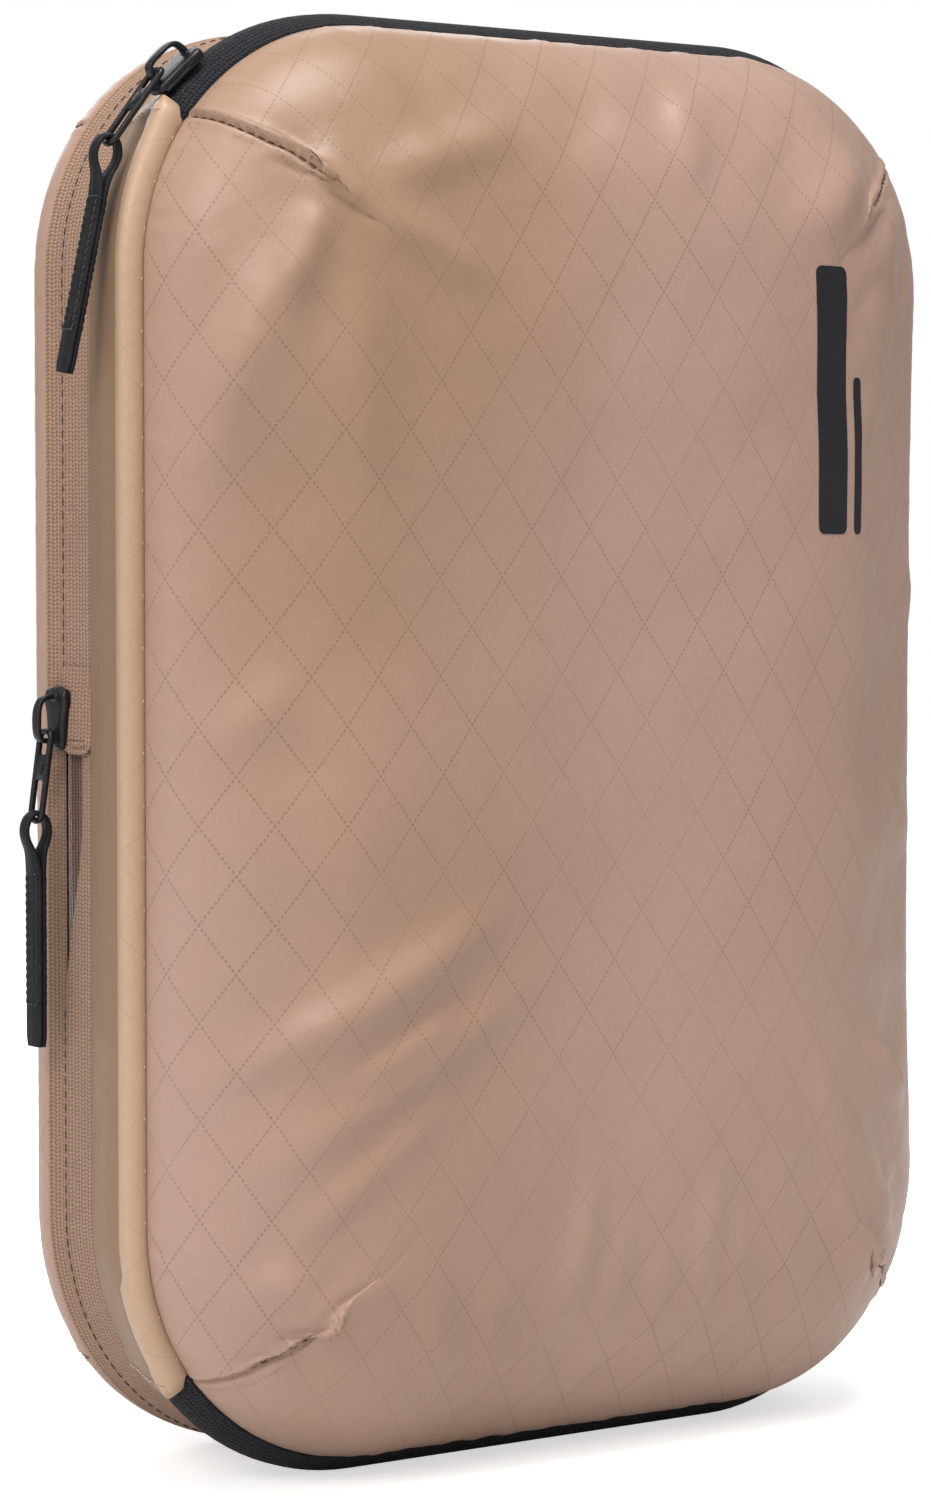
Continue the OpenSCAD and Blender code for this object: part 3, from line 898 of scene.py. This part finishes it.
SLIDER_S = 7.0
TAPE_END_S = 1.4
GAP_FOOT_S = -66.0
GAP_WIDTH = 7.5


def strip_lift(s):
    """The strip lies over the black tape at its two turned ends."""
    return 0.9 * float(smooth_step(STRIP_END_S - 7, STRIP_END_S - 1, abs(s)))


def hinge_taper(s):
    """Rounds off the outer corners of the strip's turned ends."""
    return 1.6 * float(smooth_step(STRIP_END_S - 0.5, STRIP_END_S + 2.5, abs(s))) ** 2


def band(name, s_list, points, mat, body, slot, nodes, closed=False, thickness=1.0, count=12):
    outline = ribbon(points, thickness, count)
    return finish_piece(sweep(name, s_list, outline, closed), mat, body, slot, *nodes)


band("zip_knit_front", ZIP, [(-6.3, -7.9), (-4.6, -8.6), (-2.9, -7.1), (-1.2, -5.0), (-0.15, -3.0),
                             (0.0, -1.7)],
     BLACK_KNIT, "lid", "black_tape", ["main_tape_front"], count=16)
band("zip_knit_rear", ZIP, [(0.0, -1.3), (0.05, 0.2), (-0.6, 2.2), (-1.3, 4.2), (-2.2, 6.4)],
     BLACK_KNIT, "frame_ring", "black_tape", ["main_tape_rear"])


def roll_section(s):
    lift, t = strip_lift(s), hinge_taper(s)
    pts = [(-7.2, -7.2), (-5.0, -8.2 + t), (-2.4, -8.4 + t), (-0.4, -7.7 + t), (0.6, -6.5 + t * 0.6),
           (0.85, -5.0), (0.6, -3.3), (0.15, -1.62)]
    wave = 0.22 * noise.noise(Vector((s / 24.0, 2.1, 0)))
    pts = [(r + lift + wave * (-8.2 < y < -3), y) for r, y in pts]
    return ribbon(pts, 0.9, 18)


def strip_section(s):
    lift, t = strip_lift(s), hinge_taper(s)
    wave = 0.35 * noise.noise(Vector((s / 30.0, 9.7, 0)))
    pts = [(0.08, -1.45), (-0.1, 0.2), (-0.9 + wave, 4.0), (-2.0 + wave, 8.0), (-3.2 + 0.5 * wave, 12.0),
           (-4.2, STRIP_BORDER_Y - t)]
    pts = [(r + lift, y) for r, y in pts]
    return ribbon(pts, 0.9, 18)


# The roll wears the lighter copy of the cloth (painted highlight), the hinge strip the darker copy (painted
# shade).
finish_piece(sweep("hinge_roll", HINGE, roll_section, False), ROLL_CLOTH_PAINTED_HIGHLIGHT, "lid", "hinge_cloth", "hinge_edge")
finish_piece(sweep("hinge_cloth_strip", HINGE, strip_section, False), STRIP_CLOTH_PAINTED_SHADE, "frame_ring",
             "hinge_cloth", "hinge_strip")

# The side strip wears the darker copy of the cloth: painted shade.
band("side_cloth_strip", ZIP, [(-2.6, 5.2), (-2.2, 6.2), (-2.8, 9.0), (-3.6, 12.5), (-4.3, STRIP_BORDER_Y)],
     STRIP_CLOTH_PAINTED_SHADE, "frame_ring", "hinge_cloth", ["side_strip"])


def gap_at(s):
    """How far the front compression tape draws back from the meeting line below the slider."""
    s = (s + AROUND / 2) % AROUND - AROUND / 2
    if s > TAPE_END_S or s < GAP_FOOT_S:
        return 0.0
    return GAP_WIDTH * float(smooth_step(GAP_FOOT_S, TAPE_END_S - 16, s))


def front_tape_section(s):
    g = gap_at(s)
    y1 = COMP_MEET_Y - 0.15 - g
    y0 = STRIP_BORDER_Y - 0.7
    pts = [(-4.9, y0), (-5.2, y0 + 0.3 * (y1 - y0)), (COMP_R + 0.1, y0 + 0.7 * (y1 - y0)),
           (COMP_R + 0.25 - 0.1 * g, y1)]
    return ribbon(pts, 0.9, 10)


finish_piece(sweep("compression_knit_front", LOOP, front_tape_section, True), TAN_KNIT, "frame_ring",
             "tan_tape", "compression_tape_front")
band("compression_knit_rear", LOOP, [(COMP_R + 0.25, COMP_MEET_Y + 0.15), (COMP_R + 0.2, 33.0),
                                     (COMP_R + 0.5, 35.6), (COMP_R + 0.9, 37.8), (COMP_R - 0.9, 39.0)],
     TAN_KNIT, "back_shell", "tan_tape", ["compression_tape_rear"], closed=True, thickness=0.9)

# The turned end of the front compression tape, over the part that comes up from below
END_TOP_S = 20.0


def tape_end_patch():
    """A tongue of tape with a rounded foot and two rows of holes, following the side wall."""
    y0, y1 = STRIP_BORDER_Y - 0.4, COMP_MEET_Y - 0.5
    mid, half = (y0 + y1) / 2, (y1 - y0) / 2
    z_top, z_foot = HALF_H + END_TOP_S, HALF_H + TAPE_END_S - 3.0
    nu, nv = 56, 84
    step_y, step_z = (y1 - y0) / nu, (z_top - z_foot) / nv
    foot_r, hole_pitch, hole_r = 4.6, 1.35, 0.4
    keep, verts, uvs, faces = {}, [], [], []

    def inside(y, z):
        dz = z - z_foot
        over = abs(y - mid) - (half - foot_r)
        if dz < foot_r and over > 0 and math.hypot(over, foot_r - dz) > foot_r:
            return False
        for row, dist in enumerate((1.7, 3.3)):
            a = round((y - mid) / hole_pitch - 0.5 * row) + 0.5 * row
            cy = mid + a * hole_pitch
            if abs(cy - mid) < half - 2.2 - 0.8 * row:
                cz = z_foot + dist + 0.9 * ((cy - mid) / half) ** 2
                if math.hypot(y - cy, z - cz) < hole_r:
                    return False
        return True

    def vert(i, j):
        if (i, j) not in keep:
            y, z = y0 + i * step_y, z_foot + j * step_z
            rise = 0.55 + 0.35 * math.exp(-((z - z_foot) / 5.0) ** 2)
            rise *= 1 - float(smooth_step(z_top - 10, z_top, z))
            keep[(i, j)] = len(verts)
            verts.append((-(HALF_W + COMP_R + 0.25 + rise), y, z))
            uvs.append((z * MM, y * MM))
        return keep[(i, j)]

    for i in range(nu):
        for j in range(nv):
            if inside(y0 + (i + 0.5) * step_y, z_foot + (j + 0.5) * step_z):
                faces.append((vert(i, j), vert(i, j + 1), vert(i + 1, j + 1), vert(i + 1, j)))
    obj = make("tape_turned_end", np.array(verts), faces, uv=np.array(uvs))
    soft = obj.modifiers.new("Soft", "SMOOTH")
    soft.factor, soft.iterations = 0.5, 2
    bpy.context.view_layer.update()
    bake(obj)
    solid = obj.modifiers.new("Thickness", "SOLIDIFY")
    solid.thickness, solid.offset = 0.8 * MM, 0
    return obj


finish_piece(tape_end_patch(), TAN_KNIT, "frame_ring", "tan_tape", "compression_tape_end")

# The tape's darker wrong side, seen through the parting below the slider
PART = stations(GAP_FOOT_S - 8, TAPE_END_S + 6)


def under_section(s):
    g = gap_at(min(s, TAPE_END_S - 1))
    twist = 1.2 * g / GAP_WIDTH
    return ribbon([(COMP_R - 1.8, COMP_MEET_Y - 9.0), (COMP_R - 1.2 - 0.3 * twist, COMP_MEET_Y - 5.0),
                   (COMP_R - 0.95 + 0.7 * twist, COMP_MEET_Y - 2.4),
                   (COMP_R - 0.75, COMP_MEET_Y - 0.2)], 0.6, 10)


DARK_KNIT = knit("knit_brown", rgb(122, 84, 62), rgb(62, 38, 27), 0.0008, 0.0008, 1.0, 0.5)
finish_piece(sweep("tape_wrong_side", PART, under_section, False), DARK_KNIT, "frame_ring", "tan_tape")

# ---- coils


def coil(name, s0, s1, y0, r0, mat, body, slot, node):
    """A turned coil along the loop; it closes on itself when it starts at s = 0."""
    closed = s0 == 0
    count = int((s1 - s0) / 1.7)
    path = []
    for k in range(count * 6 + (0 if closed else 1)):
        turn = k / 6
        x, z, nx, nz = on_loop(s0 + (s1 - s0) * turn / count)
        a = 2 * math.pi * turn
        y = y0 + 1.35 * math.cos(a)
        r = r0 + 0.7 * math.sin(a) + flare((nx, nz), y)
        path.append((x + r * nx, y, z + r * nz))
    obj = gather(name, [tube(settle(np.array(path)), 0.26, 4, closed)])
    finish_piece(obj, mat, body, slot, node)


for name, y, body, node in (("coil_front_turns", -3.2, "lid", "main_coil_front"),
                            ("coil_rear_turns", 0.2, "frame_ring", "main_coil_rear")):
    coil(name, STRIP_END_S + 1, AROUND - STRIP_END_S - 1, y, -2.15, BLACK_COIL, body, "black_coil", node)
for end, y, r, body in (("front", -1.75, -2.15, "frame_ring"), ("rear", 1.75, -1.9, "back_shell")):
    coil("coil_compression_" + end, 0, AROUND, COMP_MEET_Y + y, COMP_R + r, TAN_COIL, body, "tan_coil",
         "compression_coil_" + end)

# ---- inside: bindings and gusset


def inner_band(name, node, body, r0):
    a, b = lo(node), hi(node)
    pts = [(r0, a[1] + 0.3), (r0 - 0.15, (a[1] + b[1]) / 2), (r0, b[1] - 0.3)]
    obj = sweep(name, LOOP, ribbon(pts, 1.0, 6), True, flared=False)
    return finish_piece(obj, BINDING, body, "binding", node)


inner_band("front_seam_binding", "front_binding", "lid", FRONT_SEAM_R - 2.6)
inner_band("frame_seam_binding", "frame_binding", "frame_ring", -6.6)
inner_band("back_seam_binding", "back_binding", "back_shell", BACK_SEAM_R - 3.2)

g_lo, g_hi = lo("expansion_gusset"), hi("expansion_gusset")
fold_mid = (g_lo[1] + g_hi[1]) / 2
fold_r = COMP_R - 5.6
half_fold = [(COMP_R - 1.0, 0.1), (COMP_R - 3.0, 0.2), (fold_r, 0.8), (fold_r - 8, 3.6)]
tip = [(fold_r - 19, fold_mid - 1.6), (fold_r - 21.5, fold_mid), (fold_r - 19, fold_mid + 1.6)]
fold = ([(r, g_lo[1] + y) for r, y in half_fold] + tip
        + [(r, g_hi[1] - y) for r, y in half_fold[::-1]])
gusset = sweep("gusset_fold", LOOP, ribbon(fold, 0.5, 34), True, flared=False)
gusset.data.materials.append(GUSSET)
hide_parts("expansion_gusset")
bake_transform(gusset)

for material_slot in bpy.data.objects["main_zip_stops"].material_slots:
    material_slot.link = "OBJECT"
    material_slot.material = ENAMEL

# ---- thread along the wall


def wall_point(s, r, y):
    x, z, nx, nz = on_loop(s)
    p = settle(np.array([[x + r * nx, y, z + r * nz]]))[0]
    return p, np.array([nx, 0, nz])


def row_along(s0, s1, pitch, length, r, y, radius=0.26, rise=0.2):
    parts = []
    count = int((s1 - s0) / pitch)
    for k in range(count):
        s = s0 + (k + 0.5) * (s1 - s0) / count
        a, up = wall_point(s - length / 2, r, y)
        b, _ = wall_point(s + length / 2, r, y)
        parts.append(stitch(a, b, up, radius, rise))
    return parts


meeting = gather("meeting_line_thread", row_along(2, AROUND - 64, 3.3, 2.1, COMP_R + 0.3, COMP_MEET_Y - 0.1,
        0.24, 0.1))
finish_piece(meeting, DARK_THREAD, "frame_ring", "tan_tape")

groove = gather("seam_thread_front", row_along(-STRIP_END_S, STRIP_END_S, 12.0, 0.8, FRONT_SEAM_R + 0.25,
        FRONT_SEAM_Y - 0.1, 0.14, 0.15))
finish_piece(groove, TAN_THREAD, "lid", "hinge_cloth")


def end_thread(name, y0, y1, section, body):
    """Stitches across both turned ends of the hinge cloth; section gives its r at each y."""
    parts = []
    for s_at in (1.5 - STRIP_END_S, STRIP_END_S - 1.5):
        for y in np.arange(y0, y1 - 1.0, 2.3):
            (a, _), (b, up) = (wall_point(s_at, np.interp(v, *section) + 0.1, v) for v in (y, y + 1.5))
            parts.append(stitch(a, b, up, 0.2, 0.22))
    finish_piece(gather(name, parts), TAN_THREAD, body, "hinge_cloth")


end_thread("strip_end_thread", -0.6, 15.0,
           ([-1.4, 0.2, 4.0, 8.0, 12.0, 15.8], [0.95, 0.8, 0.0, -1.1, -2.3, -3.3]), "frame_ring")
end_thread("roll_end_thread", -6.8, -2.2,
           ([-7.7, -6.5, -5.0, -3.3, -1.6], [0.5, 1.5, 1.75, 1.5, 1.05]), "lid")

# ---- sliders, pullers, tabs


class Place:
    """A local frame: origin and three unit axes, in millimetres."""

    def __init__(self, origin, x, y, z):
        self.o, self.m = np.asarray(origin, float), np.stack([x, y, z]).astype(float)

    def __call__(self, pts):
        return self.o + np.asarray(pts, float) @ self.m


def offset_outline(outline, inset):
    p = np.asarray(outline, float)
    d = np.roll(p, -1, 0) - np.roll(p, 1, 0)
    d /= np.linalg.norm(d, axis=1)[:, None]
    return p + np.stack([-d[:, 1], d[:, 0]], 1) * inset


def slab(outline, levels, dome=0.0):
    """A solid plate from an outline (anticlockwise) at several levels of (z, inset)."""
    n = len(outline)
    verts, faces = [], []
    for z, inset in levels:
        ring = offset_outline(outline, inset)
        verts += [(x, y, z) for x, y in ring]
    for k in range(len(levels) - 1):
        for q in range(n):
            w = (q + 1) % n
            faces.append((k * n + q, k * n + w, (k + 1) * n + w, (k + 1) * n + q))
    for base, z, flip in ((0, levels[0][0], True), ((len(levels) - 1) * n, levels[-1][0] + dome, False)):
        c = len(verts)
        mid = np.mean(np.array(verts[base:base + n])[:, :2], axis=0)
        verts.append((mid[0], mid[1], z))
        for q in range(n):
            w = (q + 1) % n
            faces.append((base + w, base + q, c) if flip else (base + q, base + w, c))
    return np.array(verts), faces


def mirror_outline(half_points, per=5):
    """A closed smooth outline from its +y half, listed from nose (+x) to tail (-x)."""
    pts = curve_through(half_points, (len(half_points) - 1) * per + 1)
    low = pts[1:-1][::-1] * [1, -1]
    return np.vstack([pts, low])


def ellipse(x, half_x, half_y, count):
    turns = np.linspace(0, 2 * math.pi, count, endpoint=False)
    return [(x + half_x * math.cos(a), half_y * math.sin(a)) for a in turns]


def squared(v):
    """Bulges a circle's sine or cosine towards a square's."""
    return math.copysign(abs(v) ** 0.55, v)


def slider(prefix, place, body, node_body, node_crown):
    plan = mirror_outline([(7.6, 0), (7.75, 1.0), (7.3, 2.6), (6.9, 4.3), (5.3, 5.0), (3.2, 4.9), (1.4, 4.2),
                           (-2.0, 3.8), (-5.6, 3.5), (-7.1, 2.9), (-7.7, 1.5), (-7.75, 0)], 4)
    parts = [slab(plan, [(0.9, 0.5), (1.1, 0.12), (1.5, 0.0), (2.3, 0.0), (2.8, 0.22), (3.1, 0.7),
                         (3.2, 1.3)], 0.05)]
    for side in (-1, 1):
        rail = [(6.6, 4.0, 1.0), (4.6, 4.35, 0.9), (1.6, 3.75, 0.9), (-2.0, 3.3, 0.9), (-6.4, 3.0, 0.95)]
        parts.append(tube(curve_through([(x, side * y, z) for x, y, z in rail], 18), 0.62, 8))
    parts.append(slab(mirror_outline([(7.3, 0), (7.2, 1.2), (6.0, 1.9), (3.6, 1.1), (1.8, 0.9), (1.4, 0)], 4),
                      [(0.0, 0.3), (0.6, 0.0), (1.2, 0.0)]))
    base = gather(prefix + "_base", [(place(v), f) for v, f in parts])
    finish_piece(base, ENAMEL, body, "slider_black", node_body)

    arch = curve_through([(-5.3, 2.5), (-5.45, 4.6), (-5.15, 6.6), (-3.9, 7.65), (-0.8, 7.85), (2.4, 7.6),
                          (4.5, 6.6), (5.3, 4.8), (5.4, 2.5)], 40)
    half_w, half_t = 1.45, 0.66
    verts = []
    d = directions(arch)
    m = 12
    for k, (x, z) in enumerate(arch):
        out = np.array([-d[k, 1], d[k, 0]])
        wide = half_w * (1.0 + 0.12 * math.cos(math.pi * (x / 5.4)))
        for q in range(m):
            a = 2 * math.pi * (q + 0.5) / m
            cy, ct = squared(math.cos(a)), squared(math.sin(a))
            verts.append((x + out[0] * ct * half_t, cy * wide, z + out[1] * ct * half_t))
    feet = []
    for x in (-5.4, 5.4):
        feet.append(slab(ellipse(x, 1.2, 1.75, 16), [(2.9, -0.1), (3.25, 0.05), (3.6, 0.45)]))
    crown = gather(prefix + "_bridge", [(place(v), f) for v, f in [(verts, loft(len(arch), m))] + feet])
    finish_piece(crown, ENAMEL, body, "slider_black", node_crown)


BAIL_TO_END = 21.95
STRAP_LENGTH = 55.2


def puller(prefix, bail, along, across, body, node):
    """Pulled by its end: local x runs from the bail bar to the end bar, y is the width."""
    z = np.cross(along, across)
    place = Place(bail, along, across, z)
    half, rad = 2.62, 0.82

    def frame_path(x0, x1, r0, r1, n=9):
        pts = []
        for cx, side, a0, r in ((x1 - r1, 1, 0, r1), (x0 + r0, 1, 90, r0), (x0 + r0, -1, 180, r0),
                                (x1 - r1, -1, 270, r1)):
            cy = side * (half - r)
            for a in np.radians(np.linspace(a0, a0 + 90, n)):
                pts.append((cx + r * math.cos(a), cy + r * math.sin(a), 0))
        return np.array(pts)

    parts = [tube(frame_path(0, BAIL_TO_END, 1.6, 2.5), rad, 8, True, normals=np.tile((0, 0, 1.0), (36, 1)))]
    web = [(5.2, 2.5), (5.7, 0.9), (5.9, 0), (5.7, -0.9), (5.2, -2.5),
           (12.6, -2.5), (12.0, -1.0), (11.9, 0), (12.0, 1.0), (12.6, 2.5)]
    parts.append(slab(web, [(-0.5, 0.1), (-0.35, 0.0), (0.35, 0.0), (0.5, 0.1)]))
    oval = ellipse(8.9, 1.9, 1.25, 24)
    for level in (1, -1):
        steps = [(0.4 * level, 0.0), (0.72 * level, 0.08), (0.82 * level, 0.35)]
        parts.append(slab(oval, steps, 0.02 * level))
    obj = gather(prefix + "_frame", [(place(v), f) for v, f in parts])
    return finish_piece(obj, ENAMEL, body, "puller_black", node)


def strap_width(d):
    """3.8 mm where the strap passes the end bar, 7 mm from the join on."""
    w = 3.8 + 3.0 * float(smooth_step(3.5, 13.0, d))
    if 13.0 < d < 45.0:
        w += 0.34 * (abs(((d / 1.5) % 1) - 0.5) * 2) - 0.1
    if d > 51.5:
        w -= 1.3 * ((d - 51.5) / 3.8) ** 2
    return w


def strap(prefix, pivot, along, across, body, node):
    z = np.cross(along, across)
    place = Place(pivot, along, across, z)
    half_t, gap = 0.55, 0.62
    loop = [(13.0, gap), (10.5, gap + 0.25), (7.5, 1.55), (4.5, 2.85), (2.0, 3.2), (-0.4, 2.45), (-1.75, 1.1),
            (-2.1, 0.0)]
    top = curve_through(loop, 44)
    tail = [(d, gap) for d in np.arange(STRAP_LENGTH, 13.4, -0.375)]
    one = np.vstack([tail, top])
    path = np.vstack([one, (one[:-1] * [1, -1])[::-1]])
    d = directions(path)
    verts = []
    for k, (x, t) in enumerate(path):
        out = np.array([-d[k, 1], d[k, 0]])
        w = strap_width(x) / 2
        for cy, ct in ((w, 0.45), (w - 0.22, 1), (0, 1), (-w + 0.22, 1), (-w, 0.45), (-w + 0.05, -0.6),
                       (0, -1), (w - 0.05, -0.6)):
            verts.append((x + out[0] * ct * half_t, cy, t + out[1] * ct * half_t))
    obj = gather(prefix + "_strap", [(place(verts), loft(len(path), len(verts) // len(path)))])
    finish_piece(obj, HIDE, body, "tab_black", node)
    sides = [((d0, y), (d0 + 1.35, y)) for y in (-2.55, 2.55) for d0 in np.arange(13.5, 44.5, 2.0)]
    ends = [((d0, y), (d0, y + 1.2)) for y in np.arange(-2.4, 1.6, 1.7) for d0 in (12.9, 44.9)]
    rows = [stitch((*a, face * (gap + half_t)), (*b, face * (gap + half_t)), (0, 0, face), 0.22, 0.16)
            for pairs in (sides, ends) for face in (-1, 1) for a, b in pairs]
    thread_obj = gather(prefix + "_thread", [(place(v), f) for v, f in rows])
    finish_piece(thread_obj, BLACK_THREAD, body, "tab_black")


d45 = math.sqrt(0.5)
places = {
    "main": Place((-TURN_X - CORNER_R * d45, MAIN_MEET_Y, HALF_H + TURN_Z + CORNER_R * d45),
                  (d45, 0, d45), (0, 1, 0), (-d45, 0, d45)),
    "compression": Place((-HALF_W - COMP_R, COMP_MEET_Y, HALF_H + SLIDER_S), (0, 0, 1), (0, 1, 0),
                         (-1, 0, 0)),
}
BAIL = np.array([-3.1, 0.0, 5.2])
hanging = {"main": (-10.0, -7.0, -25.5), "compression": (8.0, 0.0, -8.0)}


def hang_direction(place, angle, skew):
    """Direction of something that hangs towards the slider's tail, angle out of the tape's plane."""
    a, k = math.radians(angle), math.radians(skew)
    local = np.array([-math.cos(a) * math.cos(k), -math.cos(a) * math.sin(k), math.sin(a)])
    return local @ place.m


for which, (hang, skew, lean) in hanging.items():
    spot = places[which]
    slider(which + "_zip", spot, which + "_slider", which + "_slider_body", which + "_slider_crown")
    axis = np.array([-math.sin(math.radians(skew)), math.cos(math.radians(skew)), 0]) @ spot.m
    bail = spot([BAIL])[0]
    along = hang_direction(spot, hang, skew)
    end = bail + along * BAIL_TO_END
    puller(which + "_pull", bail, along, axis, which + "_puller", which + "_puller")
    strap(which + "_tab", end, hang_direction(spot, hang + lean, skew), axis, which + "_tab",
          which + "_pull_tab")

# ---- plain printed bars

bpy.context.view_layer.update()
INK_LIFT = 0.00012


def printed_bar(x0, x1, z0, z1, corner):
    """A plain rounded bar of print laid on the front cloth."""
    graph = bpy.context.evaluated_depsgraph_get()
    tree = BVHTree.FromObject(front, graph)
    nx, nz = max(6, int((x1 - x0) / 0.7)), int((z1 - z0) / 0.9)
    verts, faces = [], []
    for i in range(nx + 1):
        for j in range(nz + 1):
            x, z = x0 + (x1 - x0) * i / nx, z0 + (z1 - z0) * j / nz
            dx = max(corner - (x - x0), corner - (x1 - x), 0)
            dz = max(corner - (z - z0), corner - (z1 - z), 0)
            d = math.hypot(dx, dz)
            if d > corner:
                x += (dx if x < (x0 + x1) / 2 else -dx) * (1 - corner / d)
                z += (dz if z < (z0 + z1) / 2 else -dz) * (1 - corner / d)
            hit, normal, _, _ = tree.ray_cast(Vector((x, -80, z)) * MM, Vector((0, 1, 0)))
            verts.append(np.array(hit + normal * INK_LIFT) / MM)
    for i in range(nx):
        for j in range(nz):
            a = i * (nz + 1) + j
            faces.append((a, a + nz + 1, a + nz + 2, a + 1))
    return verts, faces


bars = gather("print_bars", [printed_bar(58, 69, 232, 300, 2.0), printed_bar(72, 75, 232, 272, 1.2)])
finish_piece(bars, INK, "lid", "ripstop")


for cloth, extra in ((front, ("front_dart_stitches", "print_bars")), (back, ("back_dart_stitches",))):
    width, length, area = cloth["cut"]
    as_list(extra)


# ---- floor, light, camera

floor_mesh = bpy.data.meshes.new("studio_floor")
half = 3.0
floor_mesh.from_pydata([(-half, -half, 0), (half, -half, 0), (half, half, 0), (-half, half, 0)], [],
                       [(0, 1, 2, 3)])
floor = bpy.data.objects.new("studio_floor", floor_mesh)
scene.collection.objects.link(floor)
paper = Shade("studio_paper", Base_Color=(0.9, 0.9, 0.9, 1), Roughness=0.9, Specular_IOR_Level=0.1)
paper.bsdf.inputs["Emission Color"].default_value = (1, 1, 1, 1)
glow = paper.node("ShaderNodeMix")
glow.inputs[2].default_value, glow.inputs[3].default_value = 0.0, 0.6
paper.tree.links.new(paper.node("ShaderNodeLightPath").outputs["Is Camera Ray"], glow.inputs[0])
paper.tree.links.new(glow.outputs[0], paper.bsdf.inputs["Emission Strength"])
floor.data.materials.append(paper.mat)

# White to the camera; as a light, a soft sky that is brightest above and to the left
world = bpy.data.worlds.new("studio")
world.use_nodes = True
sky = world.node_tree
backdrop = sky.nodes["Background"]
backdrop.inputs["Color"].default_value = (1, 1, 1, 1)
aim = sky.nodes.new("ShaderNodeVectorMath")
aim.operation = "DOT_PRODUCT"
aim.inputs[1].default_value = (-0.55, -0.1, 0.83)
slope = sky.nodes.new("ShaderNodeMapRange")
for socket, value in (("From Min", -1.0), ("From Max", 1.0), ("To Min", 0.05), ("To Max", 0.56)):
    slope.inputs[socket].default_value = value
choose = sky.nodes.new("ShaderNodeMix")
choose.inputs[3].default_value = 1.0
sky.links.new(sky.nodes.new("ShaderNodeTexCoord").outputs["Generated"], aim.inputs[0])
sky.links.new(aim.outputs["Value"], slope.inputs["Value"])
sky.links.new(sky.nodes.new("ShaderNodeLightPath").outputs["Is Camera Ray"], choose.inputs[0])
sky.links.new(slope.outputs[0], choose.inputs[2])
sky.links.new(choose.outputs[0], backdrop.inputs["Strength"])
scene.world = world


def area_light(name, place, aim, size, power, colour=(1, 1, 1)):
    data = bpy.data.lights.new(name, "AREA")
    data.shape = "RECTANGLE"
    data.size, data.size_y = size
    data.energy = power
    data.color = colour
    obj = bpy.data.objects.new(name, data)
    obj.location = place
    obj.rotation_euler = (Vector(aim) - Vector(place)).to_track_quat("-Z", "Y").to_euler()
    scene.collection.objects.link(obj)
    return obj


CENTRE = (0, 0, 0.18)
area_light("key", (-1.22, -0.62, 1.05), CENTRE, (0.55, 0.55), 7.2, (1.0, 0.985, 0.965))
area_light("side", (-1.25, 0.0, 0.45), CENTRE, (0.5, 0.9), 1.6, (1.0, 0.98, 0.95))
area_light("top", (-0.15, -0.35, 1.35), (0, 0, 0.3), (0.7, 0.4), 13.0)
area_light("fill", (1.1, -1.0, 0.6), CENTRE, (0.9, 0.9), 0.3)
area_light("back", (0.4, 1.1, 0.9), CENTRE, (0.9, 0.6), 4.0)

YAW, PITCH = -0.6155, -0.05
DISTANCE, RISE, SIDE_STEP = 1.0736, 0.05076, -0.01639
away_from = Vector((math.sin(YAW), -math.cos(YAW), 0))
right = Vector((math.cos(YAW), math.sin(YAW), 0))
up_axis = Vector((0, 0, 1))
camera_data = bpy.data.cameras.new("camera")
camera_data.lens = 101.2
camera_data.clip_start, camera_data.clip_end = 0.05, 50
camera = bpy.data.objects.new("camera", camera_data)
forward = -away_from * math.cos(PITCH) + up_axis * math.sin(PITCH)
camera.location = away_from * DISTANCE + up_axis * (HALF_H * MM + RISE) + right * SIDE_STEP
camera.rotation_euler = forward.to_track_quat("-Z", "Y").to_euler()
scene.collection.objects.link(camera)
scene.camera = camera

scene.view_settings.view_transform = "Standard"
scene.view_settings.look = "None"
scene.view_settings.exposure = 0.0

bpy.context.view_layer.update()
